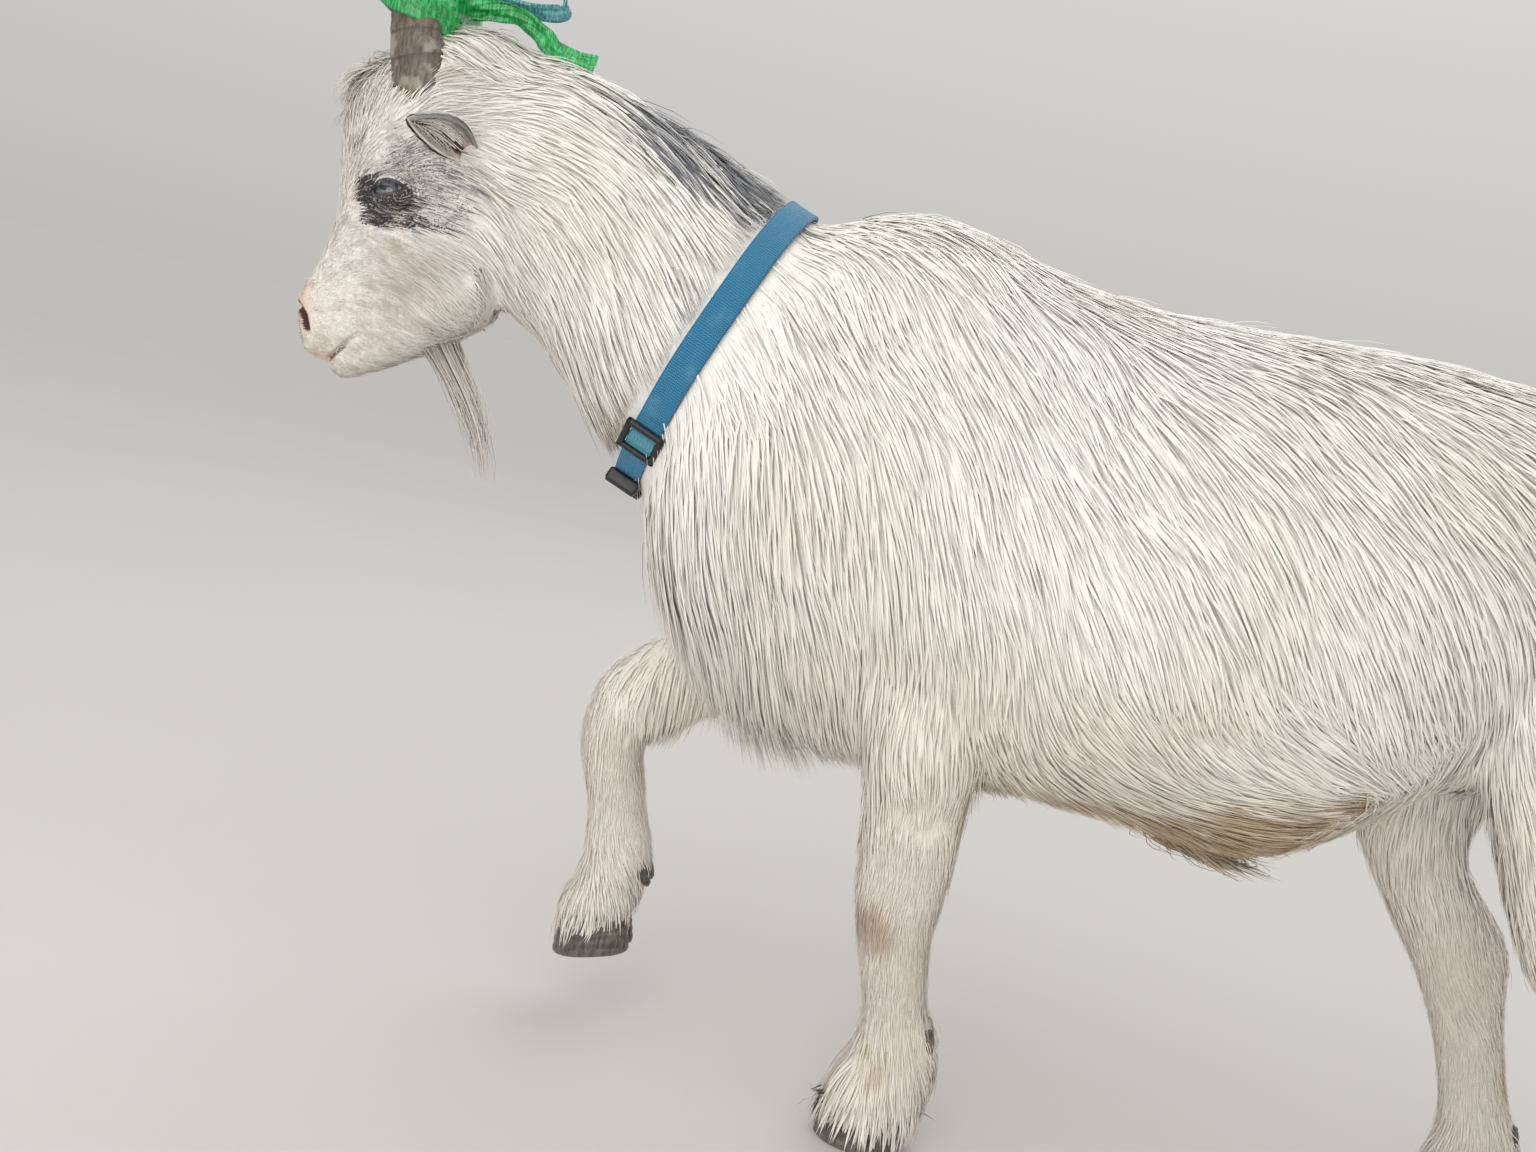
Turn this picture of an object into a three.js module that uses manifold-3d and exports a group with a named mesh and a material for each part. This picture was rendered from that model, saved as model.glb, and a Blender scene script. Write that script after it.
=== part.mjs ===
// A goat, life size: a small white wether walking, one fore leg raised, with a webbing
// collar and a ribbon round its horns. Millimetres, +Z up. The goat faces -Y and its left
// side is +X. The origin is on the floor, in the middle of the goat's box.
import * as THREE from 'three';
import { mergeVertices } from 'three/addons/utils/BufferGeometryUtils.js';
import Module from 'manifold-3d';

const wasm = await Module();
wasm.setup();

// ---------------------------------------------------------------- driving sizes
const GAP = 0.3;              // left between pieces that touch
const ROOM = 0.45;            // grown on a piece that cuts its own seat, so that GAP is left
const COAT = 11;              // how far the tips of the long coat stand off the core
const BEND = 6;               // how far a lock's tip may be bent to one side
// Sizes and places below are in the goat's own frame: the floor is at z 0, x 0 is the plane
// that halves the goat, and y 0 is over its planted fore hoof.
const EYE = { at: [42, -464, 572], radius: 13, open: [12.5, 7.5], tilt: 0.35 };
const EAR = { base: [46, -414, 606], tip: [120, -444, 616], wide: 17.5, cup: 10, thick: 2.6 };
const HORN = { deep: 17.5, wide: 12, ridge: 0.7, keel: 2.5 };
const HOOF = { high: 30, toe: 36, heel: 25, wide: 22, cleft: 1.4, rise: 4 };
const DEWCLAW = { long: 16, radius: 6.5, apart: 0.075 };
const COLLAR = { wide: 20, thick: 3 };
const SLIDER = { long: 23, wide: 28, thick: 5, bar: 4 };
const BUCKLE = { long: 44, wide: 24, thick: 11 };
const RIBBON = { wide: 15, thick: 1.6 };

// Body forms, out to the tips of the coat. Each section runs from its top or front point
// to its bottom or rear point, both on the plane at x:
// [top y, top z, bottom y, bottom z, half width, x, fullness below the middle]
const TORSO = [
  [-262, 462, -264, 404, 34, 0, 0], [-253, 516, -252, 373, 70, 0, 0],
  [-228, 572, -231, 338, 94, 0, 0], [-195, 618, -201, 303, 108, 0, 0],
  [-160, 637, -165, 281, 116, 0, 0], [-115, 648, -115, 269, 121, 0, 0.02],
  [-70, 643, -70, 265, 126, 0, 0.06], [-20, 629, -20, 266, 134, 0, 0.1],
  [40, 622, 40, 268, 145, 0, 0.13], [110, 624, 110, 269, 153, 0, 0.15],
  [180, 628, 182, 266, 152, 0, 0.13], [240, 630, 234, 290, 142, 0, 0.1],
  [295, 626, 282, 330, 126, 0, 0.04], [350, 616, 335, 352, 112, 0, 0],
  [405, 599, 388, 376, 99, 0, 0], [450, 571, 434, 412, 78, 0, 0],
  [478, 530, 470, 458, 42, 0, 0],
];
const NECK = [
  [-412, 694, -388, 499, 52, 0, 0], [-372, 690, -364, 493, 60, 0, 0],
  [-330, 677, -338, 476, 65, 0, 0], [-288, 664, -317, 457, 70, 0, 0.04],
  [-244, 648, -297, 438, 76, 0, 0.05], [-199, 629, -277, 418, 83, 0, 0.03],
  [-165, 622, -250, 380, 94, 0, 0], [-110, 600, -200, 350, 98, 0, 0],
];
const SKULL = [
  [-458, 688, -420, 692, 26, 0, 0], [-488, 671, -396, 682, 44, 0, 0],
  [-511, 647, -381, 656, 52, 0, 0], [-523, 619, -374, 621, 54, 0, 0],
  [-523, 590, -373, 583, 52, 0, 0], [-519, 563, -381, 545, 46, 0, 0],
  [-520, 540, -394, 515, 38, 0, 0], [-526, 520, -416, 492, 32, 0, 0],
  [-532, 503, -444, 476, 28.5, 0, 0], [-535, 488, -468, 464, 27, 0, 0],
  [-531, 473, -487, 458, 24, 0, 0], [-523, 462, -502, 458, 15, 0, 0],
];
const JAW = [
  [-516, 459, -509, 447, 11, 0, 0], [-508, 471, -494, 442, 18, 0, 0],
  [-492, 492, -475, 446, 23, 0, 0], [-468, 514, -452, 456, 28, 0, 0],
  [-440, 536, -422, 470, 34, 0, 0], [-408, 560, -392, 494, 41, 0, 0],
];
const TAIL = [
  [430, 596, 440, 562, 18, 0, 0], [464, 588, 462, 556, 21, 0, 0],
  [496, 572, 482, 542, 22, 0, 0], [522, 546, 498, 524, 21, 0, 0],
  [538, 512, 514, 500, 17, 0, 0], [542, 486, 526, 482, 9, 0, 0],
];
const FORE_LEG_PLANTED = [
  [-98, 385, 14, 372, 28, 74, 0], [-90, 343, 10, 334, 35, 71, 0],
  [-80, 302, 6, 294, 35, 66, 0], [-70, 264, 5, 256, 31, 58, 0],
  [-64, 224, 7, 220, 28, 50, 0], [-60, 193, 6, 189, 27, 42, 0],
  [-52, 168, 3, 165, 25, 36, 0], [-38, 138, 5, 136, 20, 30, 0],
  [-29, 108, 14, 110, 19, 24, 0], [-28, 84, 28, 89, 22, 19, 0],
  [-32, 62, 33, 68, 23, 17, 0], [-39, 42, 30, 46, 26, 16, 0],
  [-41, 30, 30, 30, 27, 16, 0],
];
const FORE_LEG_RAISED = [
  [-168, 388, -84, 352, 26, -74, 0], [-196, 352, -108, 312, 34, -73, 0],
  [-224, 326, -150, 276, 34, -71, 0], [-253, 297, -190, 250, 31, -70, 0],
  [-276, 270, -216, 232, 28, -70, 0], [-284, 240, -229, 222, 27, -70, 0],
  [-284, 210, -229, 206, 27, -70, 0], [-274, 184, -223, 186, 24, -70, 0],
  [-266, 160, -217, 165, 20, -70, 0], [-262, 134, -208, 142, 21, -70, 0],
  [-261, 112, -206, 124, 23, -70, 0], [-264, 98, -210, 112, 23, -70, 0],
  [-268, 84, -211, 100, 25, -70, 0], [-268, 71, -213, 88, 26, -70, 0],
];
const HIND_LEG_RIGHT = [
  [304, 556, 416, 536, 24, -58, 0], [274, 516, 432, 496, 38, -68, 0],
  [256, 466, 440, 450, 47, -74, 0], [253, 416, 434, 402, 48, -77, 0],
  [265, 366, 416, 360, 43, -79, 0], [285, 318, 394, 322, 37, -79, 0],
  [312, 272, 394, 282, 32, -78, 0], [345, 230, 414, 250, 27, -78, 0],
  [368, 200, 430, 222, 25, -78, 0], [388, 170, 443, 184, 22, -78, 0],
  [405, 138, 455, 150, 20, -78, 0], [418, 106, 468, 114, 21, -78, 0],
  [424, 84, 482, 90, 23, -78, 0], [424, 62, 486, 66, 24, -79, 0],
  [421, 42, 488, 46, 26, -80, 0], [420, 30, 488, 30, 27, -80, 0],
];

// The left hind leg stands further back than the right one, by this much at the floor.
const STRIDE = 78;
const HIND_HIGH = 560;
const HIND_LEG_LEFT = HIND_LEG_RIGHT.map(([ay, az, by, bz, wide, x]) => {
  const swing = STRIDE * (1 - (az + bz) / 2 / HIND_HIGH);
  return [ay + swing, az, by + swing, bz, wide, -x, 0];
});

// Rows of locks on these forms: from and to say where along the form their roots are, turn
// how far round it they start, run and round how far they go along it and round it.
const TORSO_LOCKS = [
  { from: 3, to: 15.2, count: 7, turn: 0.03, run: 104, round: 30, wide: 56 },
  { from: 1.4, to: 14.4, count: 9, turn: 0.115, run: 66, round: 104, wide: 62 },
  { from: 1.2, to: 14.4, count: 9, turn: 0.21, run: 40, round: 116, wide: 66 },
  { from: 1, to: 12.4, count: 7, turn: 0.305, run: 40, round: 108, wide: 70 },
  { from: 0.6, to: 12, count: 7, turn: 0.4, run: 52, round: 84, wide: 66 },
  { from: 1.8, to: 11.4, count: 5, turn: 0.475, run: 92, round: 8, wide: 52, hang: 5 },
];
const NECK_LOCKS = [
  { from: 0.6, to: 5.2, count: 5, turn: 0, run: 66, wide: 40 },
  { from: 0.7, to: 5.3, count: 4, turn: 0.105, run: 58, round: 62, wide: 50 },
  { from: 0.7, to: 5.3, count: 4, turn: 0.225, run: 46, round: 74, wide: 50 },
  { from: 0.7, to: 5.3, count: 4, turn: 0.345, run: 40, round: 68, wide: 48 },
  { from: 1.2, to: 5, count: 2, turn: 0.47, run: 74, round: 6, wide: 38 },
];
const THIGH_LOCKS = [
  { from: 1, to: 5, count: 3, turn: 0.12, run: 84, round: 14, wide: 46, lift: 8 },
  { from: 0.8, to: 5.4, count: 3, turn: 0.25, run: 96, round: 14, wide: 60, lift: 8 },
  { from: 1, to: 5.6, count: 3, turn: 0.385, run: 88, round: 14, wide: 52, lift: 8 },
];
const TAIL_LOCKS = [
  { from: 1.2, to: 4.2, count: 2, turn: 0, run: 64, wide: 30, lift: 8 },
  { from: 1.4, to: 4.6, count: 2, turn: 0.25, run: 60, wide: 32, lift: 8 },
];
const FORELOCK = [
  { from: 0.7, to: 1.1, count: 1, turn: 0, run: 58, wide: 26, lift: 10 },
  { from: 0.9, to: 1.3, count: 1, turn: 0.07, run: 50, wide: 22, lift: 9 },
];
const CROWN_LOCKS = [
  { from: -0.4, to: 0.6, count: 1, turn: 0, run: 60, wide: 34, lift: 1 },
  { from: -0.2, to: 0.6, count: 1, turn: 0.09, run: 60, round: 22, wide: 36, lift: 1 },
];

// ---------------------------------------------------------------- solids
const vector = (x, y, z) => new THREE.Vector3(x, y, z);

// A closed mesh as a solid that can be joined and cut.
function solid(geometry) {
  const plain = geometry.clone();
  plain.deleteAttribute('normal');
  plain.deleteAttribute('uv');
  const merged = mergeVertices(plain, 1e-4);
  return new wasm.Manifold(new wasm.Mesh({
    numProp: 3,
    vertProperties: new Float32Array(merged.attributes.position.array),
    triVerts: new Uint32Array(merged.index.array),
  }));
}

// The points moved out of their surface along its normals.
function swell(points, faces, by) {
  const normals = points.map(() => vector(0, 0, 0));
  for (const [a, b, c] of faces) {
    const edge = points[c].clone().sub(points[a]);
    const normal = points[b].clone().sub(points[a]).cross(edge).normalize();
    for (const k of [a, b, c]) normals[k].add(normal);
  }
  return points.map((p, k) => p.clone().addScaledVector(normals[k].normalize(), by));
}

// The solid of faces given as lists of three corners, turned to face outwards and, to cut
// room for it in its neighbours, swollen.
function solidOf(flat, faces, grow = 0) {
  const volume = faces.reduce((sum, [a, b, c]) => (
    sum + flat[a].dot(flat[b].clone().cross(flat[c]))), 0);
  const turned = volume < 0 ? faces.map(([a, b, c]) => [a, c, b]) : faces;
  const points = grow ? swell(flat, turned, grow) : flat;
  return new wasm.Manifold(new wasm.Mesh({
    numProp: 3,
    vertProperties: new Float32Array(points.flatMap((p) => [p.x, p.y, p.z])),
    triVerts: new Uint32Array(turned.flat()),
  }));
}

// The skin over a row of rings. Each end closes on a point at the middle of its ring.
function skin(rings, grow = 0) {
  const sides = rings[0].length;
  const points = rings.flat();
  const faces = [];
  for (let r = 0; r < rings.length - 1; r += 1) {
    for (let k = 0; k < sides; k += 1) {
      const a = r * sides + k;
      const b = r * sides + (k + 1) % sides;
      faces.push([a, b, a + sides], [b, b + sides, a + sides]);
    }
  }
  for (const [first, back] of [[0, false], [(rings.length - 1) * sides, true]]) {
    const middle = vector(0, 0, 0);
    for (let k = 0; k < sides; k += 1) middle.addScaledVector(points[first + k], 1 / sides);
    points.push(middle);
    for (let k = 0; k < sides; k += 1) {
      const a = first + k;
      const b = first + (k + 1) % sides;
      faces.push(back ? [a, b, points.length - 1] : [b, a, points.length - 1]);
    }
  }
  return solidOf(points, faces, grow);
}

// The skin over rings that close on themselves as a hoop.
function hoop(rings, grow = 0) {
  const sides = rings[0].length;
  const points = rings.flat();
  const faces = [];
  for (let r = 0; r < rings.length; r += 1) {
    const next = (r + 1) % rings.length;
    for (let k = 0; k < sides; k += 1) {
      const a = r * sides + k;
      const b = r * sides + (k + 1) % sides;
      const c = next * sides + k;
      const d = next * sides + (k + 1) % sides;
      faces.push([a, b, c], [b, d, c]);
    }
  }
  return solidOf(points, faces, grow);
}

const smooth = (a, b, c, d, t) => 0.5 * (2 * b + (c - a) * t
  + (2 * a - 5 * b + 4 * c - d) * t * t + (3 * b - a - 3 * c + d) * t * t * t);

// The section at a place along a form, smoothly between the ones that are given.
function sectionAt(form, along) {
  const i = Math.max(0, Math.min(Math.floor(along), form.length - 2));
  const near = (k) => form[Math.max(0, Math.min(k, form.length - 1))];
  const [a, b, c, d] = [near(i - 1), near(i), near(i + 1), near(i + 2)];
  return b.map((value, n) => smooth(a[n], value, c[n], d[n], along - i));
}

// A point on a form: turn 0 is the top or front of its section, a quarter is its left side.
function surface(form, along, turn, grow = 0) {
  const [ay, az, by, bz, wide, x, full] = sectionAt(form, along);
  const half = Math.hypot(ay - by, az - bz) / 2;
  const scale = (half + grow) / (2 * half);
  const up = Math.cos(2 * Math.PI * turn);
  const side = Math.sin(2 * Math.PI * turn);
  return vector(
    x + (wide + grow) * side * (1 - full * up),
    (ay + by) / 2 + (ay - by) * scale * up,
    (az + bz) / 2 + (az - bz) * scale * up,
  );
}

// The solid of a form, its sections moved in by the depth of a coat or not.
function form(sections, { sides, rings, grow = 0, inset = 0 }) {
  const rows = [];
  for (let r = 0; r <= rings; r += 1) {
    const along = (sections.length - 1) * (r / rings);
    rows.push(Array.from({ length: sides }, (_, k) => (
      surface(sections, along, k / sides, -inset))));
  }
  return skin(rows, grow);
}

// The largest closed surface of a solid.
function largest(body) {
  return body.decompose().reduce((a, b) => (a.volume() > b.volume() ? a : b));
}

// A big block whose flat face passes through a point; it fills the side the normal leaves.
function halfSpace(point, normal, offset = 0) {
  const size = 3000;
  const block = new THREE.BoxGeometry(size, size, size);
  block.translate(0, 0, -size / 2 - offset);
  const turn = new THREE.Quaternion().setFromUnitVectors(
    vector(0, 0, 1), normal.clone().normalize());
  block.applyQuaternion(turn);
  block.translate(point.x, point.y, point.z);
  return solid(block);
}

// One body parted by a plane: [the part behind the normal, the part before it].
function part(body, point, normal) {
  const behind = body.intersect(halfSpace(point, normal, GAP / 2));
  const before = body.intersect(halfSpace(point, normal.clone().negate(), GAP / 2));
  return [largest(behind), largest(before)];
}

// A repeatable draw, and a factor that varies a size by up to a share of it.
const DRAW = { value: 20931, factor: 16807, limit: 2147483647 };
function draw() {
  DRAW.value = (DRAW.value * DRAW.factor) % DRAW.limit;
  return DRAW.value / DRAW.limit;
}
const vary = (share) => 1 + share * (2 * draw() - 1);

// How a lock of the coat runs from root to tip: how far it has come, its height over the
// form's outline in coat depths, and its width and thickness as shares of the whole.
const LOCK = {
  at: [0, 0.56, 1],
  height: [-1.55, -0.42, -0.02],
  spread: [0.92, 1, 0.06],
  depth: [1, 0.9, 0.1],
};

// A flat, tapered lock rooted under the core of a form. It goes as far as named along the
// form and round it, bends to one side, and its tip may hang clear of the form. To cut room
// for it, it is made thicker and, as its edges are sharp, several times as much wider and
// longer.
function lock({ sections, along, turn, lie }, room = 0) {
  const { run, round = 0, wide, thick = 8, bend = 0, hang = 0, lift = 0 } = lie;
  const at = (u, v, height = 0) => surface(sections, u, v, height);
  const perAlong = at(along + 0.3, turn).distanceTo(at(along - 0.3, turn)) / 0.6;
  const perTurn = at(along, turn + 0.01).distanceTo(at(along, turn - 0.01)) / 0.02;
  const hand = Math.sin(2 * Math.PI * turn) < 0 ? -1 : 1;
  const long = Math.hypot(run, round);
  return skin(LOCK.at.map((share, k) => {
    const t = share + 7 * room * (k - 1) / long;
    const sway = bend * t * t;
    const half = wide / 2 * LOCK.spread[k] + 9 * room;
    const middle = COAT * LOCK.height[k] + lift;
    const deep = thick / 2 * LOCK.depth[k] + room;
    const point = (across, height) => {
      const side = across + sway;
      const u = along + (run * t - side * round / long) / perAlong;
      const v = turn + hand * (round * t + side * run / long) / perTurn;
      const p = at(u, v, height);
      p.z -= hang * t * t;
      return p;
    };
    return [
      point(-half, middle - deep), point(0, middle + deep + room), point(half, middle - deep),
    ];
  }));
}

const joined = (pieces) => wasm.Manifold.union(pieces);
const joinedLocks = (locks, room = 0) => joined(locks.map((one) => lock(one, room)));

// Rows of locks over a form, on its left and its right, each a little unlike the next.
function rowsOfLocks(sections, rows, flanks = [1, -1]) {
  const locks = [];
  for (const { from, to, count, turn, ...lie } of rows) {
    for (const side of turn === 0 ? [1] : flanks) {
      for (let k = 0; k < count; k += 1) {
        const along = from + (to - from) * (k + 0.5 + 0.3 * (draw() - 0.5)) / count;
        const size = vary(0.12);
        locks.push({
          sections,
          along,
          turn: side * turn * vary(0.03),
          lie: {
            ...lie,
            run: lie.run * size,
            round: (lie.round ?? 0) * size * vary(0.15),
            wide: lie.wide * vary(0.1),
            bend: BEND * (2 * draw() - 1),
          },
        });
      }
    }
  }
  return locks;
}

const ball = (at, radius) => solid(new THREE.SphereGeometry(radius, 11, 8).translate(...at));

// An egg-shaped solid, its half sizes along its own turned axes.
function egg(at, half, turned = [0, 0, 0], detail = 12) {
  const shape = new THREE.SphereGeometry(1, detail, Math.round(detail * 0.7));
  shape.scale(...half);
  shape.applyQuaternion(new THREE.Quaternion().setFromEuler(new THREE.Euler(...turned)));
  return solid(shape.translate(...at));
}

// ---------------------------------------------------------------- the finished group
const goat = new THREE.Group();

function add(name, body, material) {
  const { vertProperties, triVerts } = body.getMesh();
  const geometry = new THREE.BufferGeometry();
  geometry.setAttribute('position', new THREE.BufferAttribute(vertProperties, 3));
  geometry.setIndex(new THREE.BufferAttribute(triVerts, 1));
  geometry.computeVertexNormals();
  const mesh = new THREE.Mesh(geometry, material);
  mesh.name = name;
  goat.add(mesh);
}

const finish = (color, roughness, metalness = 0) => (
  new THREE.MeshStandardMaterial({ color, roughness, metalness }));
const MATERIAL = {
  coat: finish(0xe9e2d4, 0.95),
  eye: finish(0x8fa3ad, 0.1),
  horn: finish(0x6d6253, 0.6),
  hoof: finish(0x4a443d, 0.6),
  webbing: finish(0x2f7fa6, 0.8),
  plastic: finish(0x17181b, 0.45),
  green: finish(0x1fae4b, 0.35),
  teal: finish(0x3f9aa0, 0.45),
};
const SIDES = { left: 1, right: -1 };

// ---------------------------------------------------------------- eyes, ears and horns
const mirrored = ([x, y, z], side) => [x * side, y, z];

// The lids' swelling round an eye, with an almond-shaped opening and room for the eyeball.
function lids(side) {
  const [x, y, z] = EYE.at;
  const { radius, tilt } = EYE;
  return egg(mirrored([x - 4, y + 2, z + 1], side),
    [radius + 5.5, radius + 9, radius + 5], [-tilt, 0, 0], 12);
}

function eyeRoom(side) {
  const [x, y, z] = EYE.at;
  const opening = egg(mirrored([x + EYE.radius + 2, y - 2, z], side),
    [EYE.radius, EYE.open[0], EYE.open[1]], [-EYE.tilt, 0, 0], 10);
  return opening.add(ball(mirrored(EYE.at, side), EYE.radius + ROOM));
}

// An ear: a leaf whose section is a shallow cup, thick where it is rooted.
function ear(side, grow = 0) {
  const base = vector(...mirrored(EAR.base, side));
  const tip = vector(...mirrored(EAR.tip, side));
  const axis = tip.clone().sub(base);
  const upright = vector(0, 0.25, 1).normalize();
  const facing = axis.clone().normalize().cross(upright).normalize().multiplyScalar(side);
  const count = 7;
  const across = 4;
  const rings = [];
  for (let r = 0; r <= count; r += 1) {
    const t = r / count;
    const leaf = Math.pow(Math.sin(Math.PI * (0.16 + 0.84 * t)), 0.8) * (1 - 0.15 * t);
    const half = Math.max(EAR.wide * leaf, 1);
    const cup = EAR.cup * leaf * (1 - 0.4 * t);
    const thick = EAR.thick * (0.5 + 0.5 * leaf) + 9 * Math.max(0, 1 - t * 4);
    const middle = base.clone().addScaledVector(axis, t);
    middle.z += 5 * Math.sin(Math.PI * t) + 3 * t;
    const edge = (s, depth) => middle.clone()
      .addScaledVector(upright, half * s).addScaledVector(facing, -depth * (1 - s * s));
    const back = Array.from({ length: across }, (_, k) => (
      edge(-1 + 2 * k / (across - 1), cup)));
    const front = back.map((p, k) => (
      p.clone().addScaledVector(facing, thick * (k % (across - 1) ? 1 : 0.5))));
    rings.push([...back, ...front.reverse()]);
  }
  return skin(rings, grow);
}

// A horn: rising from the brow and sweeping back, keeled in front, with growth ridges.
function horn(side, grow = 0) {
  const route = new THREE.CatmullRomCurve3([
    [20, -470, 632], [25, -478, 658], [30, -482, 690], [36, -476, 728],
    [43, -452, 768], [49, -414, 798], [52, -384, 806],
  ].map((p) => vector(...mirrored(p, side))));
  const count = 15;
  const sides = 8;
  const rings = [];
  for (let r = 0; r <= count; r += 1) {
    const t = r / count;
    const taper = 1 - 0.86 * Math.pow(t, 1.3);
    const ridge = (r % 2 ? HORN.ridge : -HORN.ridge) * taper;
    const middle = route.getPointAt(t);
    const along = route.getTangentAt(t);
    const out = vector(1, 0, 0).addScaledVector(along, -along.x).normalize();
    const fore = along.clone().cross(out);
    rings.push(Array.from({ length: sides }, (_, k) => {
      const angle = 2 * Math.PI * k / sides;
      const keel = k === 0 ? HORN.keel * taper : 0;
      return middle.clone()
        .addScaledVector(fore, -(HORN.deep * taper + ridge) * Math.cos(angle) - keel)
        .addScaledVector(out, (HORN.wide * taper + ridge) * Math.sin(angle));
    }));
  }
  return skin(rings, grow);
}

// Slits of the nostrils and the groove of the mouth, cut from the muzzle.
function nostril(side) {
  return egg([10 * side, -533, 487], [4, 9, 3], [0.9, 0, 0.75 * side], 10);
}

function mouthGroove() {
  const width = 24;
  const rings = [];
  const count = 12;
  for (let r = 0; r <= count; r += 1) {
    const swing = (r / count - 0.5) * Math.PI;
    const middle = vector(width * Math.sin(swing) * 1.02, -482 - 40 * Math.cos(swing), 0);
    middle.z = 478 - 21 * Math.cos(swing);
    const out = vector(Math.sin(swing), -Math.cos(swing), 0);
    rings.push([
      middle.clone().addScaledVector(out, 6), middle.clone().add(vector(0, 0, 1.3)),
      middle.clone().addScaledVector(out, -3), middle.clone().add(vector(0, 0, -1.3)),
    ]);
  }
  return skin(rings);
}

// ---------------------------------------------------------------- feet
// The frame of a foot, from the last section of its leg: forward, down and the middle.
function footFrame(sections) {
  const [ay, az, by, bz, , x] = sections[sections.length - 1];
  const forward = vector(0, ay - by, az - bz).normalize();
  const down = vector(0, -forward.z, forward.y);
  return { forward, down, middle: vector(x, (ay + by) / 2, (az + bz) / 2) };
}

// One claw of a hoof: flat below, straight along the cleft and rounded outside.
function claw(sections, out) {
  const { forward, down, middle } = footFrame(sections);
  const top = 1 - GAP / HOOF.high;
  const profile = [[0, 1, 1], [0.5, 0.95, 0.95], [top, 0.86, 0.9]];
  const outline = [
    [HOOF.toe, 0.2], [HOOF.toe * 0.75, 0.7], [HOOF.toe * 0.2, 1], [-HOOF.heel * 0.65, 0.9],
    [-HOOF.heel, 0.5], [-HOOF.heel, 0.06], [0, 0], [HOOF.toe * 0.85, 0.02],
  ];
  const rings = profile.map(([up, long, wide]) => outline.map(([ahead, side]) => (
    middle.clone()
      .addScaledVector(down, HOOF.high * (1 - up))
      .addScaledVector(forward, ahead * long - HOOF.rise * up)
      .add(vector(out * (HOOF.cleft + HOOF.wide * side * wide), 0, 0)))));
  return skin(rings);
}

// A dewclaw: a blunt cone behind the fetlock, pointing down.
function dewclaw(sections, out, grow = 0) {
  const { forward, down } = footFrame(sections);
  const along = sections.length - 4.2;
  const root = surface(sections, along, 0.5 - DEWCLAW.apart * out, -3);
  const rings = [];
  for (const [t, radius] of [[-0.4, 0.8], [0.2, 1], [0.9, 0.4]]) {
    rings.push(Array.from({ length: 6 }, (_, k) => {
      const angle = Math.PI * k / 3;
      return root.clone()
        .addScaledVector(down, DEWCLAW.long * t)
        .addScaledVector(forward, -4 * t + DEWCLAW.radius * radius * Math.cos(angle))
        .add(vector(DEWCLAW.radius * radius * Math.sin(angle), 0, 0));
    }));
  }
  return skin(rings, grow);
}

// ---------------------------------------------------------------- collar and ribbon
const COLLAR_AT = 5;
const [collarTopY, collarTopZ, collarLowY, collarLowZ] = NECK[COLLAR_AT];
const collarPoint = vector(0, collarLowY, collarLowZ);
const collarUp = vector(0, collarTopY - collarLowY, collarTopZ - collarLowZ).normalize();
const collarAcross = vector(0, -collarUp.z, collarUp.y);

// The strap: a flat band round the neck, its outer face flush with the coat there.
function strap(grow) {
  const count = 28;
  const half = COLLAR.wide / 2;
  const rings = [];
  for (let k = 0; k < count; k += 1) {
    const inner = surface(NECK, COLLAR_AT, k / count, -COLLAR.thick - 2);
    const outer = surface(NECK, COLLAR_AT, k / count, -2);
    rings.push([
      inner.clone().addScaledVector(collarAcross, -half),
      inner.clone().addScaledVector(collarAcross, half),
      outer.clone().addScaledVector(collarAcross, half),
      outer.clone().addScaledVector(collarAcross, -half),
    ]);
  }
  return hoop(rings, grow);
}

// A block set on the strap: it lies along the strap, its size given along, across and out.
function onStrap(turn, size, lift, geometry) {
  const at = surface(NECK, COLLAR_AT, turn, lift);
  const ahead = surface(NECK, COLLAR_AT, turn + 0.01, lift).sub(at).normalize();
  const out = ahead.clone().cross(collarAcross).normalize();
  const facing = out.dot(at.clone().sub(collarPoint.clone().addScaledVector(collarUp, 100)));
  if (facing < 0) out.negate();
  const shape = geometry ?? new THREE.BoxGeometry(...size);
  const turned = new THREE.Matrix4().makeBasis(ahead, out.clone().cross(ahead), out);
  shape.applyMatrix4(turned);
  return solid(shape.translate(at.x, at.y, at.z));
}

const SLIDER_AT = 0.37;
const BUCKLE_AT = 0.475;

function slider(grow = 0) {
  const { long, wide, thick, bar } = SLIDER;
  const more = 2 * grow;
  const frame = onStrap(SLIDER_AT, [long + more, wide + more, thick + more], 0);
  const hole = [long - 2 * bar - more, wide - 2 * bar - more, thick * 3];
  return frame.subtract(onStrap(SLIDER_AT, hole, 0));
}

function buckle(grow = 0) {
  const { long, wide, thick } = BUCKLE;
  const more = 2 * grow;
  const body = onStrap(BUCKLE_AT, [long + more, wide + more, thick + more], 2);
  const waist = [long * 0.26 - more, wide * 2, thick * 0.6 - more];
  return body.subtract(onStrap(BUCKLE_AT, waist, 2 + thick * 0.55));
}

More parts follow.
